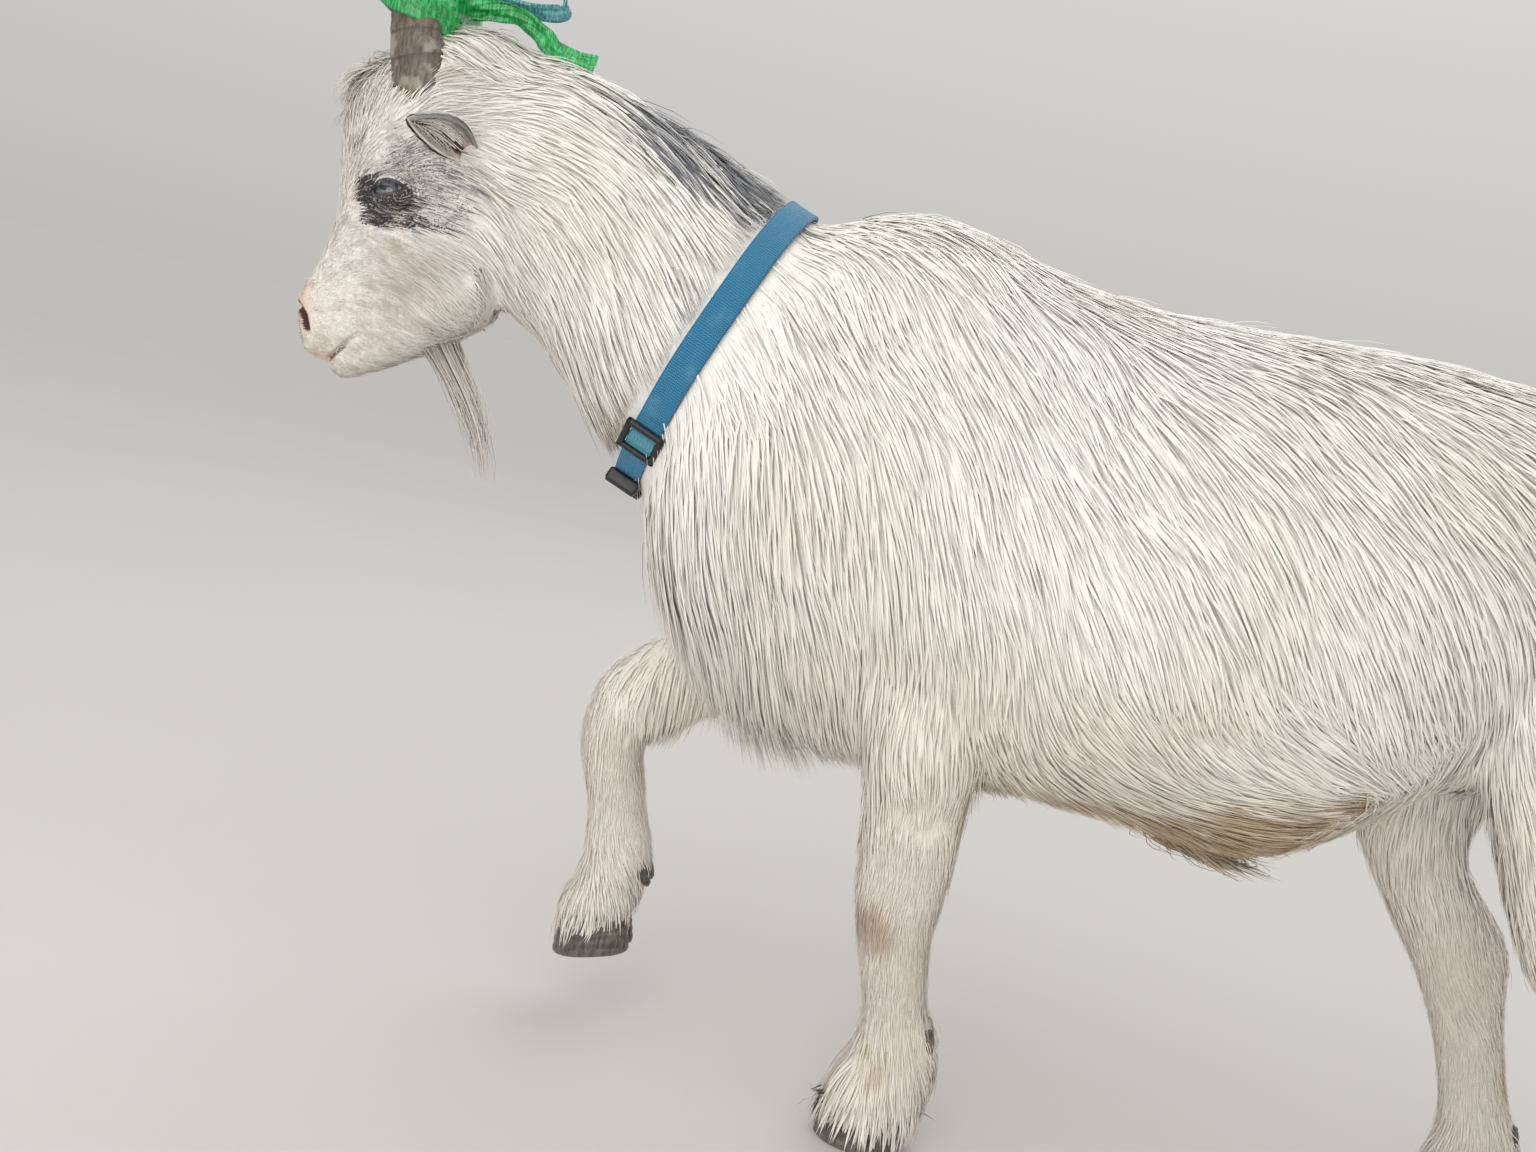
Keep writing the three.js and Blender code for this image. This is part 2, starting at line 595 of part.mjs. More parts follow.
// A ribbon: a thin flat band along a curve, as wide as named, turned by a twist.
function ribbonStrip(points, wide, twist, grow = 0) {
  const route = new THREE.CatmullRomCurve3(points.map((p) => vector(...p)));
  const count = 10;
  const rings = [];
  for (let r = 0; r <= count; r += 1) {
    const t = r / count;
    const along = route.getTangentAt(t);
    const side = vector(1, 0, 0).addScaledVector(along, -along.x).normalize();
    side.applyAxisAngle(along, twist * t);
    const up = side.clone().cross(along);
    const middle = route.getPointAt(t);
    rings.push([[-1, -1], [1, -1], [1, 1], [-1, 1]].map(([a, b]) => middle.clone()
      .addScaledVector(side, a * wide / 2).addScaledVector(up, b * RIBBON.thick / 2)));
  }
  return skin(rings, grow);
}

// The band of ribbon that ties both horns together above their bases.
function ribbonBand(grow = 0) {
  const count = 20;
  const rings = [];
  for (let k = 0; k < count; k += 1) {
    const angle = 2 * Math.PI * k / count;
    const round = (value) => Math.sign(value) * Math.pow(Math.abs(value), 0.75);
    const at = (x, y, z) => vector(x * round(Math.sin(angle)), -483 + y * round(Math.cos(angle)), z);
    rings.push([at(46.5, 24, 689), at(49, 26.5, 690), at(48.5, 26, 708), at(46.5, 24, 709)]);
  }
  return hoop(rings, grow);
}

const RIBBON_TAIL = [
  [4, -461, 704], [5, -444, 714], [4, -420, 715], [2, -392, 703], [0, -366, 694],
];
const RIBBON_LOOPS = {
  ribbon_loop_teal: [[-2, -458, 718], [0, -436, 738], [2, -404, 738], [0, -396, 724],
    [-2, -420, 722], [-2, -446, 724]],
  ribbon_loop_left: [[4, -507, 706], [30, -518, 734], [62, -514, 744], [72, -504, 722],
    [56, -508, 706], [30, -510, 702]],
  ribbon_loop_right: [[-4, -507, 706], [-28, -518, 734], [-58, -516, 746], [-70, -506, 726],
    [-54, -508, 708], [-30, -510, 702]],
};

// A closed loop of ribbon, its width across the curve's own plane.
function ribbonLoop(points, wide) {
  const route = new THREE.CatmullRomCurve3(points.map((p) => vector(...p)), true);
  const count = 16;
  const middle = vector(0, 0, 0);
  for (const p of points) middle.addScaledVector(vector(...p), 1 / points.length);
  const rings = [];
  const spread = vector(...points[2]).sub(middle);
  const axis = spread.clone().cross(vector(...points[1]).sub(middle)).normalize();
  for (let r = 0; r < count; r += 1) {
    const at = route.getPointAt(r / count);
    const along = route.getTangentAt(r / count);
    const up = axis.clone().cross(along).normalize();
    rings.push([[-1, -1], [1, -1], [1, 1], [-1, 1]].map(([a, b]) => at.clone()
      .addScaledVector(axis, a * wide / 2).addScaledVector(up, b * RIBBON.thick / 2)));
  }
  return hoop(rings);
}

// ---------------------------------------------------------------- torso, neck and head
const LEGS = {
  leg_front_left: { sections: FORE_LEG_PLANTED, bends: { upper: 5 }, locks: [] },
  leg_front_right: { sections: FORE_LEG_RAISED, bends: { upper: 5 }, locks: [] },
  leg_hind_left: {
    sections: HIND_LEG_LEFT,
    bends: { upper: 5, middle: 8 },
    locks: rowsOfLocks(HIND_LEG_LEFT, THIGH_LOCKS, [1]),
  },
  leg_hind_right: {
    sections: HIND_LEG_RIGHT,
    bends: { upper: 5, middle: 8 },
    locks: rowsOfLocks(HIND_LEG_RIGHT, THIGH_LOCKS, [-1]),
  },
};
const legSolid = (sections, grow = 0) => (
  form(sections, { sides: 12, rings: sections.length - 1, grow }));
const tailSolid = (grow = 0) => form(TAIL, { sides: 8, rings: 5, grow });

// A leg; a hind one has long locks on its thigh.
const legWithLocks = ({ sections, locks }, grow = 0) => (
  legSolid(sections, grow).add(joinedLocks(locks, grow)));

// The beard: thin locks side by side under the jaw, hanging back to their tips. Each is
// rooted a little to one side of the middle one, behind or before it, and is as long as said.
const BEARD = {
  root: [0, -428, 488], low: [0, -404, 440], tip: [0, -378, 392], wide: 17,
  locks: [[-6, 4, 0.8], [5, 8, 0.9], [0, -3, 1], [1, 14, 0.75]],
};
function beard() {
  const locks = [];
  for (const [x, y, length] of BEARD.locks) {
    const route = new THREE.CatmullRomCurve3([BEARD.root, BEARD.low, BEARD.tip].map(
      (p, k) => vector(p[0] + x * (1 - 0.35 * k), p[1] + y * (1 - 0.5 * k), p[2])));
    locks.push(skin([0, 0.3, 0.65, 1].map((t) => {
      const at = route.getPointAt(t * length);
      const half = BEARD.wide / 2 * (1 - 0.94 * t * t);
      const deep = 4.5 * (1 - 0.9 * t);
      return [vector(at.x - deep, at.y - half, at.z - half * 0.4),
        vector(at.x + deep, at.y - half * 0.2, at.z),
        vector(at.x - deep, at.y + half, at.z + half * 0.4)];
    })));
  }
  return locks;
}

const trunk = form(TORSO, { sides: 18, rings: 16, inset: COAT });
const throat = form(NECK, { sides: 16, rings: 7, inset: COAT });
const core = trunk.add(throat);
const [trunkCore, throatCore] = part(core, collarPoint, collarAcross);
const beforeCollar = halfSpace(collarPoint, collarAcross.clone().negate(), GAP / 2);
const behindCollar = halfSpace(collarPoint, collarAcross, GAP / 2);
const trunkBehind = trunkCore.add(joinedLocks(rowsOfLocks(TORSO, TORSO_LOCKS)))
  .intersect(behindCollar);
const throatBefore = throatCore.add(joinedLocks(rowsOfLocks(NECK, NECK_LOCKS)))
  .intersect(beforeCollar);

const POLL = { at: vector(0, -386, 600), facing: vector(0, -1, -0.08) };
const face = form(SKULL, { sides: 18, rings: 16 }).add(form(JAW, { sides: 12, rings: 6 }));
const beforePoll = halfSpace(POLL.at, POLL.facing.clone().negate(), GAP / 2);
const behindPoll = halfSpace(POLL.at, POLL.facing, GAP / 2);

const collar = strap(ROOM).add(slider(ROOM)).add(buckle(ROOM));
const tailLocks = rowsOfLocks(TAIL, TAIL_LOCKS);
let torso = trunkBehind.subtract(collar)
  .subtract(tailSolid(ROOM)).subtract(joinedLocks(tailLocks, ROOM));
for (const leg of Object.values(LEGS)) torso = torso.subtract(legWithLocks(leg, ROOM));
let neck = throatBefore.intersect(behindPoll).subtract(collar);

const topKnot = [...rowsOfLocks(SKULL, FORELOCK), ...rowsOfLocks(NECK, CROWN_LOCKS)];
const hair = joined([face, joinedLocks(topKnot), ...beard()]);
let head = throatBefore.intersect(beforePoll).add(hair.intersect(beforePoll));
for (const side of Object.values(SIDES)) {
  head = head.add(lids(side)).subtract(eyeRoom(side)).subtract(ear(side, 3 * ROOM))
    .subtract(horn(side, ROOM)).subtract(nostril(side));
}
const ribbons = ribbonBand(ROOM).add(ribbonStrip(RIBBON_TAIL, RIBBON.wide, 0.5, ROOM));
head = head.subtract(mouthGroove()).subtract(ribbons);

neck = neck.subtract(ribbons);

add('torso', largest(torso), MATERIAL.coat);
add('neck', largest(neck), MATERIAL.coat);
add('head', largest(head), MATERIAL.coat);
add('tail', tailSolid().add(joinedLocks(tailLocks)), MATERIAL.coat);

for (const [name, side] of Object.entries(SIDES)) {
  add(`eye_${name}`, ball(mirrored(EYE.at, side), EYE.radius), MATERIAL.eye);
  add(`ear_${name}`, ear(side), MATERIAL.coat);
  add(`horn_${name}`, horn(side), MATERIAL.horn);
}

for (const [name, { sections, bends, locks }] of Object.entries(LEGS)) {
  const outward = Math.sign(sections[0][5]);
  let leg = legWithLocks({ sections, locks });
  for (const [which, out] of [['outer', outward], ['inner', -outward]]) {
    add(`hoof_${name.slice(4)}_${which}`, claw(sections, out), MATERIAL.hoof);
    add(`dewclaw_${name.slice(4)}_${which}`, dewclaw(sections, out), MATERIAL.hoof);
    leg = leg.subtract(dewclaw(sections, out, ROOM));
  }
  for (const [length, bend] of Object.entries(bends)) {
    const joint = surface(sections, bend, 0.25).setX(sections[bend][5]);
    const next = surface(sections, bend + 1, 0.25).setX(sections[bend + 1][5]);
    const [above, below] = part(leg, joint, next.sub(joint));
    add(`${name}_${length}`, above, MATERIAL.coat);
    leg = below;
  }
  add(`${name}_lower`, leg, MATERIAL.coat);
}

// ---------------------------------------------------------------- what it wears
const band = strap(0).subtract(slider(ROOM)).subtract(buckle(ROOM));
add('collar_strap', largest(band), MATERIAL.webbing);
add('collar_slider', slider(), MATERIAL.plastic);
add('collar_buckle', buckle(), MATERIAL.plastic);

const horns = horn(1, ROOM).add(horn(-1, ROOM));
const tie = horns.add(ribbonBand(ROOM));
const ribbonTail = ribbonStrip(RIBBON_TAIL, RIBBON.wide, 0.5).subtract(tie);
add('ribbon_band', ribbonBand(), MATERIAL.green);
add('ribbon_tail', largest(ribbonTail), MATERIAL.green);
for (const [name, points] of Object.entries(RIBBON_LOOPS)) {
  const material = name.endsWith('teal') ? MATERIAL.teal : MATERIAL.green;
  add(name, largest(ribbonLoop(points, RIBBON.wide).subtract(tie)), material);
}

// The origin moves to the floor, in the middle of the goat's box.
const box = new THREE.Box3().setFromObject(goat, true);
const boxMiddle = box.getCenter(vector(0, 0, 0));
goat.position.set(-boxMiddle.x, -boxMiddle.y, -box.min.z);

export default goat;
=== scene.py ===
"""A life-size white goat in mid step, dressed over its solids: one skin with its coat in tufts,
eyes, ears, horns and hooves, a webbing collar and a ribbon tied round the horns."""
import math

import bpy
import numpy as np
from mathutils import Matrix, Vector, kdtree, noise
from mathutils.bvhtree import BVHTree


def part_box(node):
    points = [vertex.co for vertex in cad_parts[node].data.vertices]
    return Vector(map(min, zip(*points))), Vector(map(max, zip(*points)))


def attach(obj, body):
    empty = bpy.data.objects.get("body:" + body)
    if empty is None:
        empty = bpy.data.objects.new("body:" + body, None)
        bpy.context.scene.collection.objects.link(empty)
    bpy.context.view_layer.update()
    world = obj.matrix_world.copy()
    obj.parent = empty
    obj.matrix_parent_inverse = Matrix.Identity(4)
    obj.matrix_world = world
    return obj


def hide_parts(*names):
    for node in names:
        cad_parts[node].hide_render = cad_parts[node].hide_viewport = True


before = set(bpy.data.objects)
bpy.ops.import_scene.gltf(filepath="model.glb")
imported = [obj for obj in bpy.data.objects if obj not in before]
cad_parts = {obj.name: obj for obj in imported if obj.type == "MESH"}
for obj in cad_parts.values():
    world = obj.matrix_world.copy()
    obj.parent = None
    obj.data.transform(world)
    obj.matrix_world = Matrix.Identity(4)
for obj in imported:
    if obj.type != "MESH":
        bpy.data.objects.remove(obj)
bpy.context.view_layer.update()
bpy.ops.object.select_all(action="DESELECT")

# ---------------------------------------------------------------- sizes and places
# Places are in millimetres in the goat's own frame: the floor is at z 0, x 0 is the plane that
# halves the goat, its left side is +x, it faces -y, and y 0 is over its planted fore hoof.
MM = 0.001
EYE_AT = (42, -464, 572)
EYE_RADIUS = 13
EYE_MIDDLE = sum(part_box("eye_left"), Vector()) / 2
SHIFT = EYE_MIDDLE - Vector(EYE_AT) * MM      # from the goat's own frame to the model's


def at(*place):
    """A place in the goat's own frame, in the model's metres."""
    return Vector(place) * MM + SHIFT


def mirrored(place, side):
    return (place[0] * side, place[1], place[2])


def located(place, side=1):
    """A place on the goat's left side, or its mirror image, as numbers in the model's metres."""
    return np.array(at(*mirrored(place, side)))


SIDES = {"left": 1, "right": -1}

# ---------------------------------------------------------------- camera, light and floor
CAMERA_PLACE = (935.2, -115.1, 503.2)
CAMERA_AIM = (-0.98966, -0.05462, -0.13264)
CAMERA_ROLL = math.radians(13.6)
CAMERA_LENS = 31.64
SKY_LOW = (0.53, 0.52, 0.5)        # the studio's light is brightest from straight above
SKY_HIGH = (1.0, 1.0, 1.0)
SKY_STRENGTH = 0.98
BODY_MIDDLE, FEET_MIDDLE = (0, 0, 0.4), (0, 0, 0.2)     # where the lamps are turned to
# Each lamp's place, what it is turned to, its width, its power and its colour.
LAMPS = {
    "key": ((1.7, -0.9, 2.6), BODY_MIDDLE, 2.8, 20, (1.0, 0.98, 0.95)),
    "rim": ((-1.6, 0.6, 2.4), BODY_MIDDLE, 2.4, 14, (1.0, 1.0, 1.0)),
    "fill": ((1.6, -0.45, 0.35), FEET_MIDDLE, 1.4, 11, (1.0, 0.99, 0.97)),
}


def linked(name, data):
    """A new object in the scene that holds a camera's or a lamp's data."""
    made = bpy.data.objects.new(name, data)
    bpy.context.scene.collection.objects.link(made)
    return made


def fresh(add, **settings):
    """A primitive added at the origin, with nothing else selected."""
    bpy.ops.object.select_all(action="DESELECT")
    add(location=(0, 0, 0), **settings)
    return bpy.context.active_object


def add_camera():
    data = bpy.data.cameras.new("camera")
    data.lens = CAMERA_LENS
    data.clip_start = 0.01
    camera = linked("camera", data)
    turned = Vector(CAMERA_AIM).to_track_quat("-Z", "Y").to_matrix().to_4x4()
    camera.matrix_world = (Matrix.Translation(at(*CAMERA_PLACE)) @ turned
                           @ Matrix.Rotation(CAMERA_ROLL, 4, "Z"))
    bpy.context.scene.camera = camera


def add_lamp(name, place, target, size, power, colour):
    data = bpy.data.lights.new(name, "AREA")
    data.shape = "DISK"
    data.size = size
    data.energy = power
    data.color = colour
    lamp = linked(name, data)
    lamp.location = place
    lamp.rotation_euler = (Vector(target) - Vector(place)).to_track_quat("-Z", "Y").to_euler()


def add_studio():
    bpy.context.scene.view_settings.view_transform = "Standard"
    world = bpy.data.worlds.new("studio")
    world.use_nodes = True
    world_nodes, links = world.node_tree.nodes, world.node_tree.links
    sky = world_nodes["Background"]
    place = world_nodes.new("ShaderNodeTexCoord")
    height = world_nodes.new("ShaderNodeSeparateXYZ")
    ramp = world_nodes.new("ShaderNodeValToRGB")
    for stop, colour in zip(ramp.color_ramp.elements, (SKY_LOW, SKY_HIGH)):
        stop.color = (*colour, 1)
    links.new(place.outputs["Generated"], height.inputs[0])
    links.new(height.outputs["Z"], ramp.inputs["Fac"])
    links.new(ramp.outputs["Color"], sky.inputs["Color"])
    sky.inputs["Strength"].default_value = SKY_STRENGTH
    bpy.context.scene.world = world
    for name, lamp in LAMPS.items():
        add_lamp(name, *lamp)
    floor = fresh(bpy.ops.mesh.primitive_circle_add, vertices=96, radius=60, fill_type="NGON")
    floor.name = "floor"
    paint = Finish("studio_floor", roughness=0.9)
    mottle = paint.noise(paint.place(), 3.0, detail=4)
    paint.colour(paint.blend((0.6, 0.585, 0.56), (0.63, 0.615, 0.59), mottle))
    floor.data.materials.append(paint.material)


# ---------------------------------------------------------------- making materials
class Value:
    """A number worked out by a material's nodes, so that sums on it read as sums."""

    def __init__(self, finish, socket):
        self.finish = finish
        self.socket = socket

    def _with(self, operation, *others):
        return self.finish.node("ShaderNodeMath", {"operation": operation}, (self, *others))

    def __add__(self, other):
        return self._with("ADD", other)

    def __sub__(self, other):
        return self._with("SUBTRACT", other)

    def __mul__(self, other):
        return self._with("MULTIPLY", other)

    def __truediv__(self, other):
        return self._with("DIVIDE", other)

    def __rsub__(self, other):
        return self * -1 + other

    def __pow__(self, other):
        return self._with("POWER", other)

    __radd__ = __add__
    __rmul__ = __mul__

    def absolute(self):
        return self._with("ABSOLUTE")

    def sine(self):
        return self._with("SINE")

    def least(self, other):
        return self._with("MINIMUM", other)

    def most(self, other):
        return self._with("MAXIMUM", other)

    def between(self, low, high):
        """0 under low, 1 over high and smooth between them, or turned round if low is over high."""
        settings = {"interpolation_type": "SMOOTHSTEP"}
        return self.finish.node("ShaderNodeMapRange", settings, (self, low, high, 0.0, 1.0))


class Finish:
    """A material on one Principled shader, with what varies over it worked out by nodes."""

    def __init__(self, name, **fixed):
        self.material = bpy.data.materials.new(name)
        self.material.use_nodes = True
        self.tree = self.material.node_tree
        self.shader = self.tree.nodes["Principled BSDF"]
        for socket, value in fixed.items():
            self.shader.inputs[socket.replace("_", " ").title()].default_value = value

    def node(self, kind, settings=None, inputs=(), output=0):
        """A node of a kind; its settings are set first, then its sockets, by place or by name."""
        made = self.tree.nodes.new(kind)
        for key, value in (settings or {}).items():
            setattr(made, key, value)
        pairs = inputs.items() if isinstance(inputs, dict) else enumerate(inputs)
        for key, value in pairs:
            if isinstance(value, Value):
                self.tree.links.new(value.socket, made.inputs[key])
            else:
                made.inputs[key].default_value = value
        return Value(self, made.outputs[output])

    def place(self):
        """Where a point is on the model, in metres, in the goat's own frame."""
        point = self.node("ShaderNodeTexCoord", output="Object")
        return self.moved(point)

    def root(self):
        """Where the hair at a point is rooted, in metres, in the goat's own frame."""
        return self.moved(self.number("root", "Vector"))

    def moved(self, point):
        return self.node("ShaderNodeVectorMath", {"operation": "SUBTRACT"}, (point, tuple(SHIFT)))

    def number(self, name, output="Fac"):
        """What is stored on the piece under a name."""
        settings = {"attribute_type": "GEOMETRY", "attribute_name": name}
        return self.node("ShaderNodeAttribute", settings, output=output)

    def axes(self, point):
        parts = self.node("ShaderNodeSeparateXYZ", inputs=(point,))
        return [Value(self, parts.socket.node.outputs[k]) for k in range(3)]

    def stretched(self, point, scale):
        return self.node("ShaderNodeMapping", inputs={"Vector": point, "Scale": scale})

    def noise(self, point, scale, detail=2.0, roughness=0.5):
        return self.node("ShaderNodeTexNoise", inputs={
            "Vector": point, "Scale": scale, "Detail": detail, "Roughness": roughness})

    def within(self, point, centre, radii, ragged=None):
        """1 at the middle of an ellipsoid given in millimetres, falling to 0 at its surface."""
        reach = point
        for operation, size in (("SUBTRACT", centre), ("DIVIDE", radii)):
            reach = self.node("ShaderNodeVectorMath", {"operation": operation},
                              (reach, tuple(s * MM for s in size)))
        far = self.node("ShaderNodeVectorMath", {"operation": "LENGTH"}, (reach,), "Value")
        return (far if ragged is None else far + ragged).between(1.0, 0.55)

    def blend(self, low, high, mask):
        """A colour between two, each a colour's three numbers or a link."""
        made = self.tree.nodes.new("ShaderNodeMix")
        made.data_type = "RGBA"
        for key, value in (("Factor", mask), ("A", low), ("B", high)):
            socket = next(s for s in made.inputs
                          if s.name == key and s.type == ("VALUE" if key == "Factor" else "RGBA"))
            if isinstance(value, Value):
                self.tree.links.new(value.socket, socket)
            else:
                socket.default_value = value if key == "Factor" else (*value, 1)
        return Value(self, next(s for s in made.outputs if s.type == "RGBA"))

    def dimmed(self, colour, by):
        """A colour times a number."""
        settings = {"operation": "SCALE"}
        return self.node("ShaderNodeVectorMath", settings, {"Vector": colour, "Scale": by})

    def colour(self, value):
        self._set("Base Color", (*value, 1) if isinstance(value, tuple) else value)

    def rough(self, value):
        self._set("Roughness", value)

    def bump(self, height, distance, strength=1.0):
        normal = self.node("ShaderNodeBump", inputs={
            "Strength": strength, "Distance": distance, "Height": height})
        self._set("Normal", normal)

    def _set(self, name, value):
        if isinstance(value, Value):
            self.tree.links.new(value.socket, self.shader.inputs[name])
        else:
            self.shader.inputs[name].default_value = value


# ---------------------------------------------------------------- finishes
WHITE, CREAM, WARM = (0.95, 0.93, 0.885), (0.9, 0.845, 0.745), (0.84, 0.745, 0.6)
SLATE, SOOT = (0.17, 0.177, 0.2), (0.038, 0.033, 0.038)
# Stain colours, which also paint shade along the flank's fold, under the ear and under the belly.
STRAW_AND_SHADE, STAIN_AND_SHADOW = (0.56, 0.4, 0.22), (0.36, 0.24, 0.13)
# MOTTLE_AND_SHADE is the real mottling of the face and legs, and also the cheek's painted shade.
CALLUS, MOTTLE_AND_SHADE = (0.57, 0.44, 0.335), (0.6, 0.52, 0.44)
# NOSTRIL_AND_MOUTH_SHADE is the painted shade in the nostrils and the mouth's slit.
PINK, NOSTRIL_AND_MOUTH_SHADE = (0.76, 0.47, 0.41), (0.06, 0.018, 0.016)
CREST_TOP, CREST_FALL, CREST_FRONT = 0.681, 0.349, -0.356    # the crest's line over the neck

# Patches of one colour on both sides: middle, reach in millimetres and how much of the coat.
SLATE_PATCHES = [
    ((50, -450, 590), (34, 36, 30), 0.5), ((48, -430, 566), (20, 26, 22), 0.42),
    ((36, -498, 594), (8, 7, 9), 0.42), ((72, -186, 560), (50, 28, 26), 0.24),
    ((70, -262, 570), (34, 14, 50), 0.28), ((50, -310, 622), (30, 30, 26), 0.2),
    ((50, -412, 548), (16, 14, 18), 0.3), ((70, -228, 122), (22, 14, 18), 0.9),
]
SOOT_PATCHES = [
    ((42, -487, 568), (26, 15, 15), 0.78), ((46, -478, 556), (34, 20, 12), 0.74),
    ((48, -455, 556), (26, 22, 9), 0.6), ((50, -464, 568), (34, 22, 15), 0.7),
    ((50, -434, 556), (20, 14, 7), 0.45), ((37, -498, 592), (8, 5, 5), 0.3),
]
# Painted shadow along the flank's fold and in the hollow under the ear, and under the belly a dark
# stain with painted shade.
STAIN_AND_SHADOW_PATCHES = [
    ((100, 146, 296), (50, 24, 9), 0.6), ((108, 170, 318), (40, 24, 11), 0.62),
    ((112, 198, 340), (36, 22, 12), 0.62), ((114, 216, 358), (30, 12, 12), 0.6),
    ((20, 150, 262), (70, 60, 20), 0.35), ((48, -414, 592), (20, 15, 13), 0.5),
]
# Straw-yellow stains on the throat and legs; under the belly, at the elbow and under the tail the
# warm tan is partly painted shade.
STRAW_STAIN_AND_SHADE_PATCHES = [
    ((40, 150, 272), (110, 120, 34), 0.8), ((60, 180, 290), (120, 130, 72), 0.72),
    ((60, 70, 276), (110, 110, 44), 0.58), ((10, -296, 478), (60, 34, 44), 0.55),
    ((80, 458, 165), (34, 26, 100), 0.5), ((40, -14, 75), (18, 16, 12), 0.55),
    ((80, -40, 280), (70, 26, 60), 0.25), ((0, 60, 262), (90, 170, 40), 0.6),
    ((0, 500, 520), (60, 60, 80), 0.25), ((60, 262, 330), (60, 50, 60), 0.5),
]


def patches(finish, point, ragged, table):
    """How much of the coat a table of patches colours at a point."""
    much = None
    for centre, radii, share in table:
        one = finish.within(point, centre, radii, ragged) * share
        much = one if much is None else much.most(one)
    return much


def fleece(finish, point, streak):
    """The coat's colour at a point, with painted shade on the cheek, along the flank's fold, under
    the ear and under the belly. Streak tells one hair from the next, from 0 to 1.
    """
    x, y, z = finish.axes(point)
    either = finish.node("ShaderNodeCombineXYZ", inputs=(x.absolute(), y, z))
    ragged = (finish.noise(point, 55, 3) - 0.5) * 0.9
    drift_colour = finish.noise(point, 7, 3)
    colour = finish.blend(WHITE, CREAM, drift_colour.between(0.35, 0.75))
    flecks = finish.noise(finish.stretched(point, (1, 0.6, 1)), 120, 3, 0.6)
    face = y.between(-0.41, -0.46) * 0.8 + z.between(0.26, 0.18) * 0.4
    # Painted shade on the cheek, grey-beige towards its rear and bottom; the flecks are the real
    # mottling of the face and legs.
    cheek_shade = finish.within(either, (46, -436, 512), (60, 52, 52), ragged) * 0.4
    flecks = flecks.between(0.46, 0.66) * 0.75 + streak.between(0.3, 1.0) * 0.6
    colour = finish.blend(colour, MOTTLE_AND_SHADE, (flecks * face + cheek_shade).least(0.9))
    low = z.between(0.5, 0.27) * 0.36 + finish.noise(point, 16, 3).between(0.5, 0.8) * 0.3
    colour = finish.blend(colour, WARM, low.least(0.75))
    # Straw stains, and under the belly partly painted shade.
    straw_and_shade = patches(finish, either, ragged, STRAW_STAIN_AND_SHADE_PATCHES)
    colour = finish.blend(colour, STRAW_AND_SHADE, (straw_and_shade * 1.25 - streak * 0.5).between(0.0, 0.9))
    # Painted shadow of the flank's fold and under the ear, and stain with painted shade under the
    # belly.
    stain_and_shadow = patches(finish, either, ragged, STAIN_AND_SHADOW_PATCHES)
    colour = finish.blend(colour, STAIN_AND_SHADOW, (stain_and_shadow * 1.25 - streak * 0.5).between(0.0, 0.9))
    depth = (y * -1 + CREST_FRONT) * CREST_FALL + CREST_TOP - z + ragged * 0.03
    mane = depth.between(0.05, 0.012) * y.between(-0.375, -0.33) * y.between(-0.192, -0.222)
    slate = (mane * 0.7).most(patches(finish, either, ragged, SLATE_PATCHES))
    soot = patches(finish, either, ragged, SOOT_PATCHES)

    def hair_by_hair(share):
        return (share * 1.6 - 0.3 - streak).between(-0.3, 0.3)

    colour = finish.blend(colour, SLATE, hair_by_hair(slate))
    colour = finish.blend(colour, SOOT, hair_by_hair(soot))
    knee = finish.within(point, (50, -36, 181), (24, 19, 28), ragged)
    other = finish.within(point, (-92, -262, 228), (24, 22, 26), ragged) * 0.7
    return finish.blend(colour, CALLUS, knee.most(other) * 0.88), either, ragged


def skin_finish():
    """Short fur over the skin, bare pink at the nose and lips, painted shade in the nostrils and
    the mouth's slit, the same marks as the coat.
    """
    skin = Finish("goat_skin", roughness=0.75)
    point = skin.place()
    fine = skin.noise(point, 700, 3, 0.6)
    colour, either, ragged = fleece(skin, point, fine.between(0.25, 0.75))
    blush = skin.within(either, (6, -530, 478), (30, 34, 34), ragged * 0.4) * 0.5
    colour = skin.blend(colour, PINK, blush)
    nose = skin.within(either, (11, -531, 479), (19, 17, 19), ragged * 0.3)
    lips = skin.within(either, (9, -509, 453), (20, 20, 6), ragged * 0.3) * 0.7
    colour = skin.blend(colour, PINK, nose.most(lips))
    freckles = skin.noise(point, 210, 2).between(0.6, 0.66) * nose * 0.55
    colour = skin.blend(colour, SLATE, freckles)
    # Painted shade, nearly black red, in the nostrils and along the mouth's slit.
    dark = (skin.number("nostril") * 1.5).most(skin.number("mouth") * 1.1).least(0.97)
    colour = skin.blend(colour, NOSTRIL_AND_MOUTH_SHADE, dark.between(0.25, 1.0))
    rims = skin.within(either, EYE_AT, (18, 17, 13)) * 0.85
    strands = skin.noise(skin.stretched(point, (1, 0.25, 0.5)), 420, 3, 0.6)
    # Hair-like streaks dim the skin: painted shade under and between the short hairs.
    colour = skin.dimmed(colour, strands * 0.2 + 0.84)
    skin.colour(skin.blend(colour, SOOT, rims))
    pores = skin.noise(point, 1500, 2)
    skin.bump(fine * 0.35 + strands * 0.5 + pores * 0.15, 0.0016, 0.8)
    return skin.material


def hair_finish():
    hair = Finish("goat_hair", roughness=0.6)
    point = hair.root()
    shade, ahead = hair.number("shade"), hair.number("ahead")
    colour = fleece(hair, point, shade)[0]
    # Painted shade deep in the coat: each hair darker towards its root; its tone also differs at
    # random from the next.
    hair.colour(hair.dimmed(colour, 0.89 + (ahead * 0.12).least(0.06) + shade * 0.06))
    return hair.material


